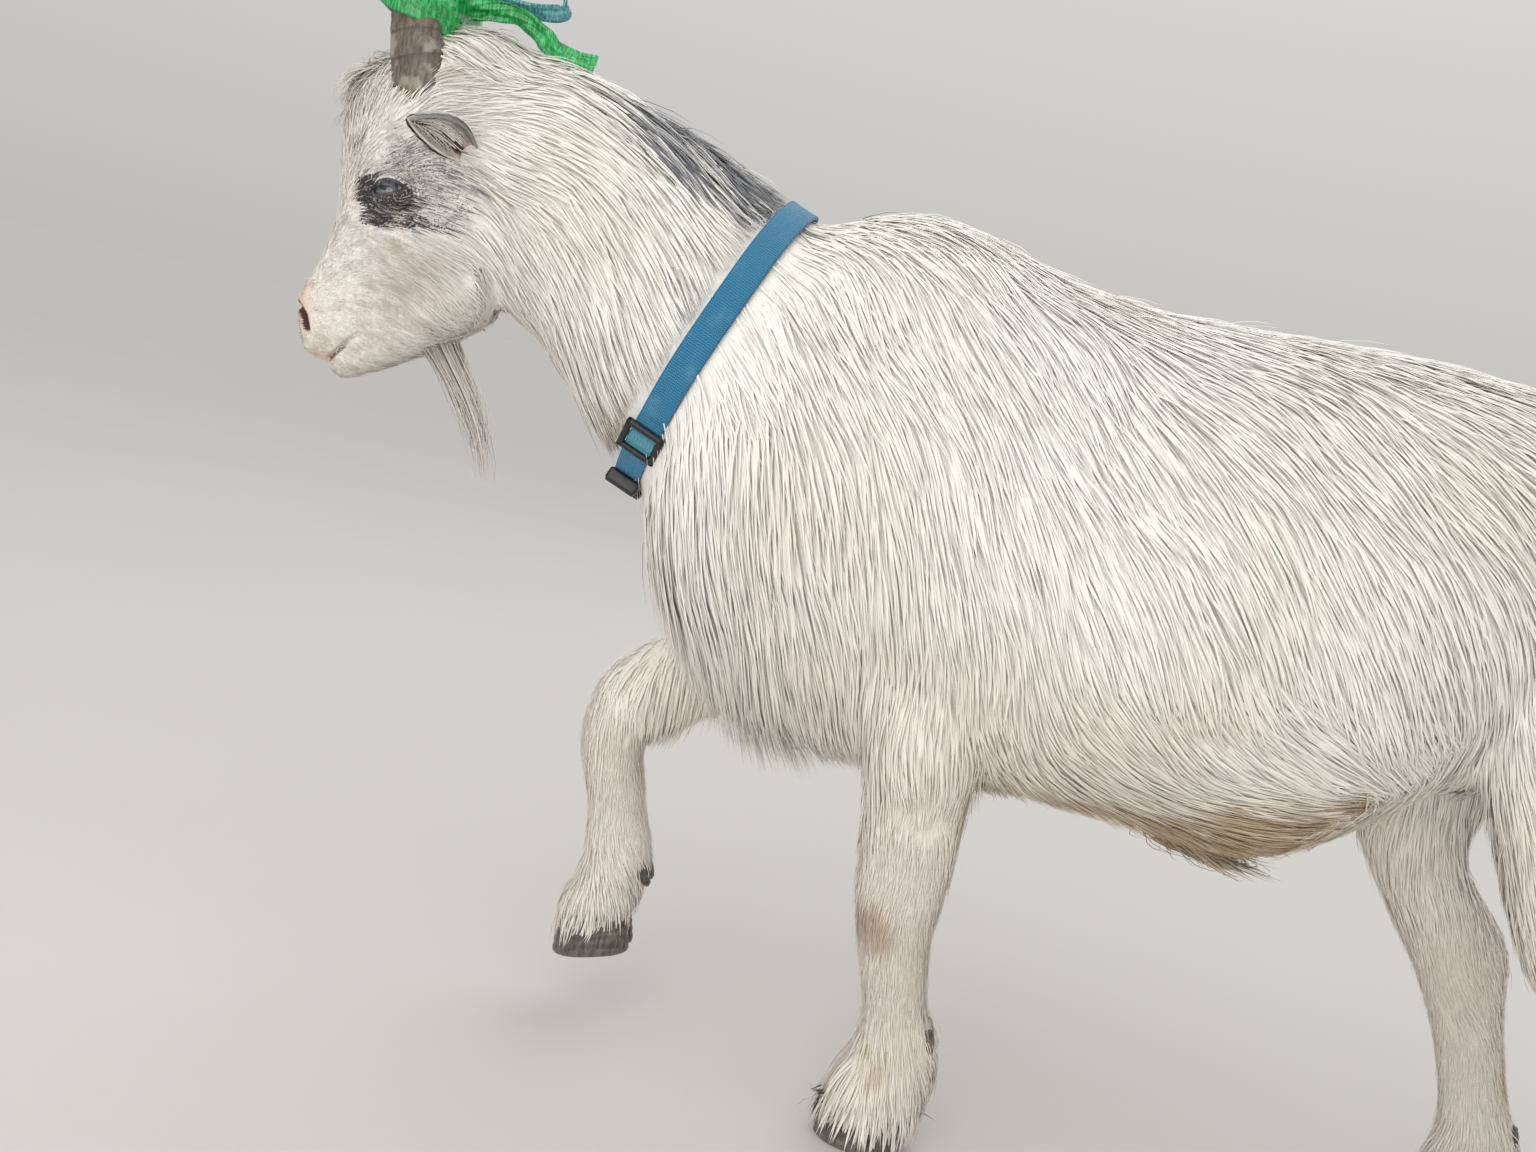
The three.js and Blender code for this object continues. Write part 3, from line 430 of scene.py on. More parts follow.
def eye_finish():
    """A pale iris with a level oblong pupil, under a wet clear front."""
    eye = Finish("wet_eye", roughness=0.06, coat_weight=1.0, coat_roughness=0.02)
    across, high, front = eye.number("across"), eye.number("high"), eye.number("front")
    reach = (across * across + high * high) ** 0.5
    fibres = eye.noise(eye.place(), 1400, 3, 0.7)
    iris = eye.blend((0.04, 0.058, 0.066), (0.12, 0.155, 0.16), fibres.between(0.3, 0.7))
    iris = eye.blend(iris, (0.19, 0.21, 0.19), reach.between(4.6, 2.6) * 0.5)
    iris = eye.blend(iris, (0.03, 0.035, 0.045), reach.between(6.4, 7.8))
    white = eye.blend((0.42, 0.38, 0.34), (0.16, 0.1, 0.08), reach.between(8.5, 11.5))
    colour = eye.blend(iris, white, reach.between(7.9, 8.5))
    turned = across * math.cos(PUPIL_TURN) + high * math.sin(PUPIL_TURN)
    upright = high * math.cos(PUPIL_TURN) - across * math.sin(PUPIL_TURN)
    oblong = (turned / 4.4) ** 4 + (upright / 1.7) ** 4
    pupil = oblong.between(1.25, 0.85) * front.between(0, 1)
    colour = eye.blend(colour, (0.008, 0.01, 0.016), pupil)
    eye.colour(colour)
    return eye.material


def lid_finish():
    lid = Finish("bare_dark_lid", roughness=0.32, coat_weight=0.35)
    grain = lid.noise(lid.place(), 900, 3)
    lid.colour(lid.blend((0.02, 0.018, 0.02), (0.07, 0.058, 0.06), grain))
    lid.bump(grain, 0.0003, 0.6)
    return lid.material


def ear_finishes():
    """White fur on the ear's back, grey along its upper edge; inside pink-brown, with painted shade
    darkening its hollow.
    """
    back = Finish("ear_back", roughness=0.78)
    rim, along, upper = (back.number(key) for key in ("across", "along", "upper"))
    fine = back.noise(back.place(), 500, 3)
    edge = (rim + (fine - 0.5) * 0.5).between(0.6, 0.95) * upper.between(-0.2, 0.3)
    tip = (along + (fine - 0.5) * 0.4).between(0.72, 1.0)
    white = back.blend(CREAM, WHITE, fine)
    back.colour(back.blend(white, SLATE, edge.most(tip * 0.8) * 0.75))
    back.bump(fine, 0.0009, 0.7)
    inside = Finish("ear_inside", roughness=0.6)
    rim, along, upper = (inside.number(key) for key in ("across", "along", "upper"))
    fine = inside.noise(inside.place(), 260, 3)
    # Painted shade: the ear's hollow darkens to nearly black brown.
    deep = ((upper + 0.35).absolute() * 1.25 + (along - 0.44).absolute() * 0.7
            + (fine - 0.5) * 0.4).between(0.85, 0.45)
    colour = inside.blend((0.45, 0.34, 0.29), (0.03, 0.014, 0.012), deep)
    lip = (rim + (fine - 0.5) * 0.35).between(0.66, 0.9)
    pale = inside.blend((0.66, 0.57, 0.49), (0.36, 0.34, 0.33), upper.between(-0.1, 0.2))
    inside.colour(inside.blend(colour, pale, lip))
    inside.bump(fine, 0.0007, 0.6)
    return back.material, inside.material


def horn_finish():
    """Grey-brown horn, dark in the growth grooves, with pale scuffed patches."""
    horn = Finish("ridged_horn", roughness=0.5)
    growth, reach = horn.number("growth"), horn.number("reach")
    point = horn.place()
    grain = horn.noise(horn.stretched(point, (1, 1, 0.25)), 420, 4, 0.65)
    blotch = horn.noise(point, 60, 3)
    colour = horn.blend((0.07, 0.055, 0.042), (0.2, 0.168, 0.13), grain.between(0.3, 0.7))
    colour = horn.blend(colour, (0.42, 0.39, 0.32), blotch.between(0.54, 0.66) * 0.6)
    colour = horn.blend(colour, (0.06, 0.047, 0.036), growth.between(0.72, 1.0) * 0.6)
    horn.colour(horn.blend(colour, (0.08, 0.07, 0.06), reach.between(0.45, 1.0) * 0.7))
    horn.rough(blotch * 0.25 + 0.36)
    horn.bump(grain * 0.7 + growth * -0.3, 0.0008, 0.7)
    return horn.material


def claw_finish():
    claw = Finish("claw_horn", roughness=0.5)
    rise = claw.number("rise")
    point = claw.place()
    streaks = claw.noise(claw.stretched(point, (1, 1, 0.18)), 520, 3, 0.6)
    colour = claw.blend((0.04, 0.035, 0.032), (0.14, 0.125, 0.11), streaks.between(0.34, 0.68))
    dust = claw.noise(point, 70, 3).between(0.48, 0.75) * 0.3 + rise.between(0.2, 0.0) * 0.3
    claw.colour(claw.blend(colour, (0.27, 0.235, 0.19), dust))
    claw.rough(dust * 0.25 + 0.42)
    claw.bump(streaks, 0.0006, 0.7)
    return claw.material


def webbing_finish():
    """Nylon webbing: rows of crossing yarns, with painted highlight on their crowns and painted
    shade between them, faded and a little dirty.
    """
    web = Finish("blue_webbing", roughness=0.55, sheen_weight=0.15)
    far, wide = web.number("far"), web.number("wide")
    ribs = (far * 3.6 + (wide * 2.6).sine() * 0.9).sine()
    yarns = (wide * 5.2).sine()
    weave = ribs * 0.6 + yarns * 0.4
    worn = web.noise(web.place(), 45, 3)
    # Painted highlight on the yarns' crowns and painted shade between them.
    colour = web.blend((0.008, 0.125, 0.27), (0.03, 0.27, 0.47), weave.between(-0.8, 0.9))
    colour = web.blend(colour, (0.13, 0.36, 0.5), worn.between(0.5, 0.75) * 0.45)
    colour = web.blend(colour, (0.15, 0.42, 0.45), web.number("faded") * 0.8)
    edge = wide.absolute().between(8.6, 9.6)
    web.colour(web.blend(colour, (0.004, 0.07, 0.16), edge * 0.5))
    web.rough(worn * 0.2 + 0.45)
    web.bump(weave, 0.0005, 0.8)
    return web.material


def plastic_finish():
    plastic = Finish("black_moulded_plastic", roughness=0.36)
    point = plastic.place()
    grain = plastic.noise(point, 1900, 2)
    scuff = plastic.noise(plastic.stretched(point, (1, 1, 7)), 130, 4).between(0.56, 0.7)
    plastic.colour(plastic.blend((0.011, 0.012, 0.014), (0.06, 0.06, 0.062), scuff * 0.6))
    plastic.rough(scuff * 0.22 + 0.32)
    plastic.bump(grain, 0.00012, 0.6)
    return plastic.material


def ribbon_finish(name, deep, painted_highlight):
    """Shiny pressed ribbon with fine crimps over it, the crimps painted with highlight, darker in
    broad patches.
    """
    ribbon = Finish(name, roughness=0.24, coat_weight=0.4, coat_roughness=0.15)
    point = ribbon.place()
    crimp = ribbon.noise(ribbon.stretched(point, (1, 3, 0.5)), 260, 3, 0.55)
    soft = ribbon.noise(point, 50, 2)
    # Painted highlight: the crimps run from the deep colour up to the bright one.
    colour = ribbon.blend(deep, painted_highlight, crimp.between(0.35, 0.7))
    ribbon.colour(ribbon.blend(colour, deep, soft.between(0.45, 0.7) * 0.5))
    ribbon.rough(crimp * 0.2 + 0.16)
    ribbon.bump(crimp * 0.7 + soft * 0.3, 0.0009, 0.8)
    return ribbon.material


# ---------------------------------------------------------------- forms of the body
# A form's sections run from its front or top end. Each is [top y, top z, bottom y, bottom z,
# half width, x, fullness below the middle], in millimetres, out to the tips of the coat.
TORSO = [
    [-262, 462, -264, 404, 34, 0, 0], [-253, 516, -252, 373, 70, 0, 0],
    [-228, 572, -231, 338, 94, 0, 0], [-195, 618, -201, 303, 108, 0, 0],
    [-160, 637, -165, 281, 116, 0, 0], [-115, 648, -115, 269, 121, 0, 0.02],
    [-70, 643, -70, 265, 126, 0, 0.06], [-20, 629, -20, 266, 134, 0, 0.1],
    [40, 622, 40, 268, 145, 0, 0.13], [110, 624, 110, 269, 153, 0, 0.15],
    [180, 628, 182, 266, 152, 0, 0.13], [240, 630, 234, 290, 142, 0, 0.1],
    [295, 626, 282, 330, 126, 0, 0.04], [350, 616, 335, 352, 112, 0, 0],
    [405, 599, 388, 376, 99, 0, 0], [450, 571, 434, 412, 78, 0, 0],
    [478, 530, 470, 458, 42, 0, 0],
]
NECK = [
    [-412, 690, -392, 510, 42, 0, 0], [-372, 690, -364, 495, 57, 0, 0],
    [-330, 677, -338, 476, 65, 0, 0], [-288, 664, -317, 457, 70, 0, 0.04],
    [-244, 648, -297, 438, 76, 0, 0.05], [-199, 629, -277, 418, 83, 0, 0.03],
    [-165, 622, -250, 380, 94, 0, 0], [-110, 600, -200, 350, 98, 0, 0],
]
SKULL = [
    [-458, 687, -420, 691, 24, 0, 0], [-488, 669, -396, 681, 40, 0, 0],
    [-511, 647, -381, 656, 50, 0, 0], [-523, 619, -374, 621, 54, 0, 0],
    [-523, 590, -373, 583, 52, 0, 0], [-519, 563, -381, 545, 46, 0, 0],
    [-520, 540, -394, 515, 38, 0, 0], [-526, 520, -416, 492, 32, 0, 0],
    [-532, 503, -444, 476, 28.5, 0, 0], [-535, 488, -468, 464, 27, 0, 0],
    [-530, 471, -487, 459, 24, 0, 0], [-525, 461, -498, 454, 19, 0, 0],
    [-518, 453, -504, 449, 11, 0, 0],
]
JAW = [
    [-505, 456, -499, 446, 11, 0, 0], [-500, 470, -487, 442, 17, 0, 0],
    [-488, 491, -471, 448, 23, 0, 0], [-466, 514, -451, 460, 28, 0, 0],
    [-440, 536, -424, 477, 34, 0, 0], [-408, 560, -394, 502, 40, 0, 0],
]
TAIL = [
    [430, 596, 440, 562, 18, 0, 0], [464, 588, 462, 556, 21, 0, 0],
    [496, 572, 482, 542, 22, 0, 0], [522, 546, 498, 524, 21, 0, 0],
    [538, 512, 514, 500, 17, 0, 0], [542, 486, 526, 482, 9, 0, 0],
]
FORE_LEG_PLANTED = [
    [-98, 385, 14, 372, 28, 74, 0], [-90, 343, 10, 334, 35, 71, 0],
    [-80, 302, 6, 294, 35, 66, 0], [-70, 264, 5, 256, 31, 58, 0],
    [-64, 224, 7, 220, 28, 50, 0], [-60, 193, 6, 189, 27, 42, 0],
    [-53, 168, 5, 165, 25, 36, 0], [-43, 138, 10, 137, 22, 30, 0],
    [-32, 108, 16, 110, 20, 24, 0], [-28, 84, 28, 89, 22, 19, 0],
    [-32, 62, 33, 68, 23, 17, 0], [-39, 42, 30, 46, 26, 16, 0],
    [-41, 30, 30, 30, 27, 16, 0],
]
FORE_LEG_RAISED = [
    [-168, 388, -84, 352, 26, -74, 0], [-196, 352, -108, 312, 34, -73, 0],
    [-224, 326, -150, 276, 34, -71, 0], [-253, 297, -190, 250, 31, -70, 0],
    [-276, 270, -216, 232, 28, -70, 0], [-284, 240, -229, 222, 27, -70, 0],
    [-284, 210, -229, 206, 27, -70, 0], [-274, 184, -223, 186, 24, -70, 0],
    [-266, 160, -217, 165, 20, -70, 0], [-262, 134, -208, 142, 21, -70, 0],
    [-261, 112, -206, 124, 23, -70, 0], [-264, 98, -210, 112, 23, -70, 0],
    [-268, 84, -211, 100, 25, -70, 0], [-268, 71, -213, 88, 26, -70, 0],
]
HIND_LEG_RIGHT = [
    [304, 556, 416, 536, 24, -58, 0], [274, 516, 432, 496, 38, -68, 0],
    [256, 466, 440, 450, 47, -74, 0], [253, 416, 434, 402, 48, -77, 0],
    [265, 366, 412, 360, 43, -79, 0], [285, 318, 384, 322, 37, -79, 0],
    [312, 272, 388, 283, 31, -78, 0], [344, 231, 419, 251, 27, -78, 0],
    [367, 201, 436, 225, 25, -78, 0], [388, 170, 444, 184, 22, -78, 0],
    [405, 138, 455, 150, 20, -78, 0], [418, 106, 468, 114, 21, -78, 0],
    [424, 84, 482, 90, 23, -78, 0], [424, 62, 486, 66, 24, -79, 0],
    [421, 42, 488, 46, 26, -80, 0], [420, 30, 488, 30, 27, -80, 0],
]
STRIDE = 78          # how much further back the left hind hoof stands than the right one
HIND_HIGH = 560


def strode(section):
    """The left hind leg's section for one of the right's."""
    ay, az, by, bz, wide, x, full = section
    swing = STRIDE * (1 - (az + bz) / 2 / HIND_HIGH)
    thin = 13 * max(0, 1 - abs(az - 345) / 85)      # its thigh is drawn back
    return [ay + swing + thin, az, by + swing, bz, wide, -x, full]


HIND_LEG_LEFT = [strode(section) for section in HIND_LEG_RIGHT]
LEGS = {
    "front_left": FORE_LEG_PLANTED, "front_right": FORE_LEG_RAISED,
    "hind_left": HIND_LEG_LEFT, "hind_right": HIND_LEG_RIGHT,
}

# Every form with how far the skin lies under its outline at its two ends, and its tile on the
# skin's unwrap: left, right, bottom and top.
FORMS = {
    "torso": (TORSO, 9.5, 9, (0.00, 0.50, 0.00, 0.50)),
    "neck": (NECK, 7, 9, (0.52, 0.80, 0.00, 0.34)),
    "skull": (SKULL, 3.2, 1.2, (0.52, 0.80, 0.36, 0.62)),
    "jaw": (JAW, 1.5, 4, (0.82, 0.99, 0.36, 0.62)),
    "tail": (TAIL, 7, 5, (0.82, 0.99, 0.00, 0.34)),
    "front_left": (FORE_LEG_PLANTED, 6, -1.2, (0.00, 0.22, 0.64, 0.99)),
    "front_right": (FORE_LEG_RAISED, 6, -1.2, (0.24, 0.46, 0.64, 0.99)),
    "hind_left": (HIND_LEG_LEFT, 7, -1.2, (0.48, 0.72, 0.64, 0.99)),
    "hind_right": (HIND_LEG_RIGHT, 7, -1.2, (0.74, 0.98, 0.64, 0.99)),
}


def smooth(stops, where, closed=False):
    """What a smooth line through rows of numbers has at places counted from its first row."""
    stops = np.array(stops, float)
    count = len(stops)
    i = np.floor(where).astype(int)
    if not closed:
        i = np.clip(i, 0, count - 2)
    t = (where - i)[..., None]
    a, b, c, d = (stops[(i + k) % count if closed else np.clip(i + k, 0, count - 1)]
                  for k in (-1, 0, 1, 2))
    return 0.5 * (2 * b + (c - a) * t + (2 * a - 5 * b + 4 * c - d) * t ** 2
                  + (3 * b - a - 3 * c + d) * t ** 3)


def surface(form, along, turn, inset=0.0):
    """Points of a form: turn 0 is the top or front of a section and a quarter its left side."""
    along, turn = np.broadcast_arrays(np.asarray(along, float), np.asarray(turn, float))
    ay, az, by, bz, wide, x, full = np.moveaxis(smooth(form, along), -1, 0)
    half = np.hypot(ay - by, az - bz) / 2
    up = np.cos(2 * np.pi * turn) * (half - inset) / (2 * half)
    side = np.sin(2 * np.pi * turn) * (1 - full * np.cos(2 * np.pi * turn))
    points = np.stack([x + (wide - inset) * side, (ay + by) / 2 + (ay - by) * up,
                       (az + bz) / 2 + (az - bz) * up], -1)
    return points * MM + np.array(SHIFT)


# ---------------------------------------------------------------- modelling
def finished(piece, name, *materials, smooth=True):
    piece.name = name
    piece.data.name = name
    piece.data.materials.clear()
    for material in materials:
        piece.data.materials.append(material)
    if smooth:
        piece.data.polygons.foreach_set("use_smooth", [True] * len(piece.data.polygons))
    piece.data.update()
    return piece


def only(*pieces):
    """Selects pieces and nothing else, the first of them active."""
    bpy.ops.object.select_all(action="DESELECT")
    for piece in pieces:
        piece.select_set(True)
    bpy.context.view_layer.objects.active = pieces[0]


def modified(piece, kind, **settings):
    """A piece with a modifier applied."""
    only(piece)
    made = piece.modifiers.new(kind.lower(), kind)
    for key, value in settings.items():
        setattr(made, key, value)
    bpy.ops.object.modifier_apply(modifier=made.name)
    return piece


def joined(pieces):
    only(*pieces)
    bpy.ops.object.join()
    return pieces[0]


def corners(piece):
    """The places of a piece's corners."""
    flat = np.empty(len(piece.data.vertices) * 3)
    piece.data.vertices.foreach_get("co", flat)
    return flat.reshape(-1, 3)


def set_corners(piece, points):
    piece.data.vertices.foreach_set("co", np.asarray(points, float).ravel())
    piece.data.update()


def outward(piece):
    """The outward directions at a piece's corners."""
    flat = np.empty(len(piece.data.vertices) * 3)
    piece.data.vertex_normals.foreach_get("vector", flat)
    return flat.reshape(-1, 3)


def righted(piece):
    """Turns a closed piece's faces outwards."""
    only(piece)
    bpy.ops.object.mode_set(mode="EDIT")
    bpy.ops.mesh.select_all(action="SELECT")
    bpy.ops.mesh.normals_make_consistent(inside=False)
    bpy.ops.object.mode_set(mode="OBJECT")
    return piece


def loft(name, rings):
    """A skin over rings of points: a circle extruded from ring to ring, each shaped in turn."""
    rings = [np.asarray(ring, float) for ring in rings]
    piece = fresh(bpy.ops.mesh.primitive_circle_add, vertices=len(rings[0]), fill_type="NGON")
    piece.name = name
    set_corners(piece, rings[0])
    bpy.ops.object.mode_set(mode="EDIT")
    bpy.ops.mesh.select_all(action="SELECT")
    for before, ring in zip(rings, rings[1:]):
        bpy.ops.mesh.extrude_region_move()
        bpy.ops.object.mode_set(mode="OBJECT")
        points = corners(piece)
        chosen = np.empty(len(points), bool)
        piece.data.vertices.foreach_get("select", chosen)
        far = np.linalg.norm(points[chosen][:, None] - before[None], axis=2)
        points[chosen] = ring[far.argmin(1)]
        set_corners(piece, points)
        bpy.ops.object.mode_set(mode="EDIT")
    bpy.ops.object.mode_set(mode="OBJECT")
    return righted(piece)


def hoop(name, rings):
    """A torus with its sections laid on rings that come back to the first."""
    piece = fresh(bpy.ops.mesh.primitive_torus_add, major_segments=len(rings),
                  minor_segments=len(rings[0]))
    piece.name = name
    set_corners(piece, np.array(rings).reshape(-1, 3))
    return righted(piece)


def patterned(piece, **fields):
    """Stores numbers of a piece's corners for its finish to read."""
    for name, values in fields.items():
        data = piece.data.attributes.new(name, "FLOAT", "POINT").data
        data.foreach_set("value", np.asarray(values, float).ravel())
    return piece


def stands_for(piece, node):
    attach(piece, "root")
    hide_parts(node)
    return piece


def added(piece):
    """Declares a piece that is in the scene alone."""
    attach(piece, "root")
    return piece


# ---------------------------------------------------------------- skin
SKIN_VOXEL = 4.6 * MM


def form_rings(form, inset_first, inset_last, sides=32, steps=3):
    count = (len(form) - 1) * steps + 1
    turns = np.arange(sides) / sides
    return [surface(form, along, turns, inset_first + (inset_last - inset_first) * share)
            for along, share in zip(np.linspace(0, len(form) - 1, count), np.linspace(0, 1, count))]


def near_face(points):
    """Which points are on the face, where the skin is finest."""
    low, high = located((-80, -560, 425)), located((80, -402, 640))
    return np.all((points > low) & (points < high), axis=1)


def near_eye(points):
    return np.any([np.linalg.norm(points - located(EYE_AT, side), axis=1) < 34 * MM
                   for side in SIDES.values()], axis=0)


def near_muzzle(points):
    return np.linalg.norm(points - located((0, -520, 473)), axis=1) < 46 * MM


def refined(piece, where):
    """The piece with its faces split in four where all of a face's corners are chosen."""
    only(piece)
    bpy.ops.object.mode_set(mode="EDIT")
    bpy.ops.mesh.select_mode(type="VERT")
    bpy.ops.mesh.select_all(action="DESELECT")
    bpy.ops.object.mode_set(mode="OBJECT")
    piece.data.vertices.foreach_set("select", where(corners(piece)))
    bpy.ops.object.mode_set(mode="EDIT")
    bpy.ops.mesh.select_mode(type="FACE", use_extend=True)
    bpy.ops.mesh.subdivide(number_cuts=1, smoothness=0.8)
    bpy.ops.object.mode_set(mode="OBJECT")


def bulge(points, normals, place, radii, by, sides=(1, -1)):
    """Pushes points out along their normals round a place, or in where by is negative."""
    out = np.zeros(len(points))
    for side in sides:
        far = (points - located(place, side)) / (np.array(radii) * MM)
        out += np.exp(-np.sum(far ** 2, axis=1))
    return points + normals * (out * by * MM)[:, None]


def near_route(points, route, wide):
    """How near the points are to a route of places in side view, from 1 on it down to 0."""
    nearest = np.full(len(points), 1e9)
    flat = np.array([0.3, 1, 1])
    for side in SIDES.values():
        stops = [located(place, side) * flat for place in route]
        for start, end in zip(stops, stops[1:]):
            line = end - start
            share = np.clip((points * flat - start) @ line / (line @ line), 0, 1)
            nearest = np.minimum(nearest, np.linalg.norm(
                points * flat - start - share[:, None] * line, axis=1))
    return np.exp(-(nearest / (wide * MM)) ** 2)


# Swellings and hollows of the head: place, reach and height.
FACE_FORMS = [
    ((48, -480, 594), (12, 16, 9), 3.5),      # brow over the eye
    ((50, -446, 590), (10, 14, 12), 2.0),     # temple
    ((40, -505, 556), (10, 12, 14), -3.0),    # hollow before the eye
    ((46, -478, 545), (10, 24, 8), 3.0),      # cheekbone
    ((46, -432, 536), (12, 26, 30), 3.5),     # cheek
    ((30, -488, 508), (9, 18, 14), -2.5),     # hollow beside the nose
    ((0, -530, 545), (16, 10, 34), -1.5),     # dish of the nose
    ((16, -527, 487), (7, 7, 6), 2.5),        # nostril's wing
    ((13, -515, 458), (9, 9, 5), 2.0),        # upper lip
    ((0, -495, 445), (13, 9, 6), 2.0),        # chin
    ((0, -500, 625), (24, 14, 22), 2.0),      # forehead
    ((42, -476, 654), (12, 16, 14), -4.0),    # beside the horn
]
NOSTRIL = [(11, -534, 482), (15, -528, 484), (19, -520, 477), (17, -516, 469)]
MOUTH = [(0, -508, 448), (8, -506, 449), (12, -502, 451), (17, -496, 457), (21, -489, 464),
         (25, -479, 475)]
# Routes along which the nostrils and the mouth's slit get painted shade.
NOSTRIL_SHADE = [(15, -527, 484), (19, -520, 478), (18, -517, 472)]
MOUTH_SHADE = [(11, -503, 450), (17, -496, 457), (21, -489, 464)]
MUZZLE_FRONT = 9        # half as wide as the muzzle's front, which has no dark lines
GAZE = Vector((0.97, -0.22, 0.02)).normalized()
EYE_TILT = 0.3
PUPIL_TURN = EYE_TILT * 0.8      # the pupil stays nearly level in the tilted opening
EYE_OPEN = (11.5, 5.6)       # half the length and the height of the opening between the lids


def eye_axes(side):
    """The eye's middle and its own axes: towards the nose, upwards and outwards."""
    gaze = Vector(mirrored(GAZE, side))
    level = gaze.cross(Vector((0, 0, 1))).normalized() * side
    along = level * math.cos(EYE_TILT) - Vector((0, 0, 1)) * math.sin(EYE_TILT)
    along = (along - gaze * along.dot(gaze)).normalized()
    up = along.cross(gaze).normalized() * side
    up = -up if up.z < 0 else up
    return [np.array(v) for v in (at(*mirrored(EYE_AT, side)), along, up, gaze)]


def lid_edge(u):
    """How far the opening reaches above and below, at a place between its two corners."""
    reach = np.clip(1 - np.abs(u / EYE_OPEN[0]) ** 2.4, 0, None) ** 0.85
    return reach * EYE_OPEN[1] * 0.9, -reach * EYE_OPEN[1] * 0.82


def sculpt_eye(points, side):
    """Lays the lids over the eyeball and opens them."""
    middle, along, up, gaze = eye_axes(side)
    offset = (points - middle) / MM
    u, v, out = offset @ along, offset @ up, offset @ gaze
    near = (out > -2) & (np.hypot(u, v) < 26)
    high, low = lid_edge(u)
    beyond = np.maximum(v - high, low - v)
    beyond = np.where(np.abs(u) > EYE_OPEN[0], np.hypot(np.abs(u) - EYE_OPEN[0], v), beyond)
    lid = np.sqrt(np.clip((EYE_RADIUS + 1.9) ** 2 - u ** 2 - v ** 2, 9, None))
    inside = np.sqrt(np.clip((EYE_RADIUS - 2.5) ** 2 - u ** 2 - v ** 2, 0, None))
    share = np.clip((beyond - 4) / 9, 0, 1)
    share = share * share * (3 - 2 * share)
    wanted = np.where(beyond < 0.2, inside, lid * (1 - share) + out * share)
    crease = 1.6 * np.exp(-((v - high - 6) / 1.6) ** 2) * (np.abs(u) < EYE_OPEN[0] + 3)
    moved = points + gaze * ((wanted - out - crease * (beyond > 0.2)) * MM)[:, None]
    points[near] = moved[near]


def make_skin(material):
    skin = joined([loft(name, form_rings(*form[:3])) for name, form in FORMS.items()])
    modified(skin, "REMESH", mode="VOXEL", voxel_size=SKIN_VOXEL, adaptivity=0)
    modified(skin, "SMOOTH", factor=0.5, iterations=10)
    for where in (near_face, near_eye, near_muzzle):
        refined(skin, where)
    points, normals = corners(skin), outward(skin)
    for place, radii, by in FACE_FORMS:
        points = bulge(points, normals, place, radii, by)
    set_corners(skin, points)
    normals = outward(skin)
    for route, wide, deep in ((NOSTRIL, 2.6, 5.0), (MOUTH, 1.5, 3.0)):
        points -= normals * (near_route(points, route, wide) * deep * MM)[:, None]
    points = bulge(points, normals, (0, -534, 466), (1.8, 8, 12), -2.5, sides=(1,))
    for side in SIDES.values():
        sculpt_eye(points, side)
    side_on = np.abs(points[:, 0] - SHIFT.x) > MUZZLE_FRONT * MM
    # How much painted shade the nostrils and the mouth's slit get, none on the muzzle's front.
    patterned(skin, nostril=near_route(points, NOSTRIL_SHADE, 4.0) * side_on,
              mouth=near_route(points, MOUTH_SHADE, 2.4) * side_on)
    set_corners(skin, points)
    finished(skin, "skin", material)
    flesh = [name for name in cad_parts
             if name.startswith(("torso", "neck", "head", "tail", "leg_"))]
    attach(skin, "root")
    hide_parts(*flesh)
    return skin


# ---------------------------------------------------------------- frames that several pieces use
def foot_frame(form):
    """The middle of a leg's end, and its downward and forward directions."""
    ay, az, by, bz, x = (form[-1][k] for k in (0, 1, 2, 3, 5))
    forward = Vector((0, ay - by, az - bz)).normalized()
    down = Vector((0, -forward.z, forward.y))
    return [np.array(v) for v in (at(x, (ay + by) / 2, (az + bz) / 2), down, forward)]


def collar_frame(section):
    """The lowest place of the neck's section under the collar, and its direction to the tail."""
    ay, az, by, bz = section[:4]
    up = Vector((0, ay - by, az - bz)).normalized()
    return [np.array(v) for v in (at(0, by, bz), Vector((0, up.z, -up.y)))]


COLLAR_SECTION = 5
COLLAR_POINT, COLLAR_ACROSS = collar_frame(NECK[COLLAR_SECTION])


# ---------------------------------------------------------------- small pieces
def along_route(route, shares):
    """Places along a smooth route, for shares of its length."""
    return smooth([at(*place) for place in route], np.clip(shares, 0, 1) * (len(route) - 1))


def along_loop(route, shares):
    """Places round a smooth closed route."""
    return smooth([at(*place) for place in route], shares * len(route), closed=True)


def unit(vectors):
    return vectors / np.maximum(np.linalg.norm(vectors, axis=-1, keepdims=True), 1e-9)


def framed(middle, sideways, round_again=False):
    """The direction, side and up at each place of a line, the side kept near one direction."""
    if round_again:
        ahead = np.roll(middle, -1, axis=0) - np.roll(middle, 1, axis=0)
    else:
        ahead = np.gradient(middle, axis=0)
    ahead = unit(ahead)
    side = unit(sideways - ahead * np.sum(ahead * sideways, -1, keepdims=True))
    return ahead, side, np.cross(side, ahead)


# ---------------------------------------------------------------- eyes
CORNEA = 1.3            # how far the clear front of the eye stands out of the ball
IRIS = 8.2


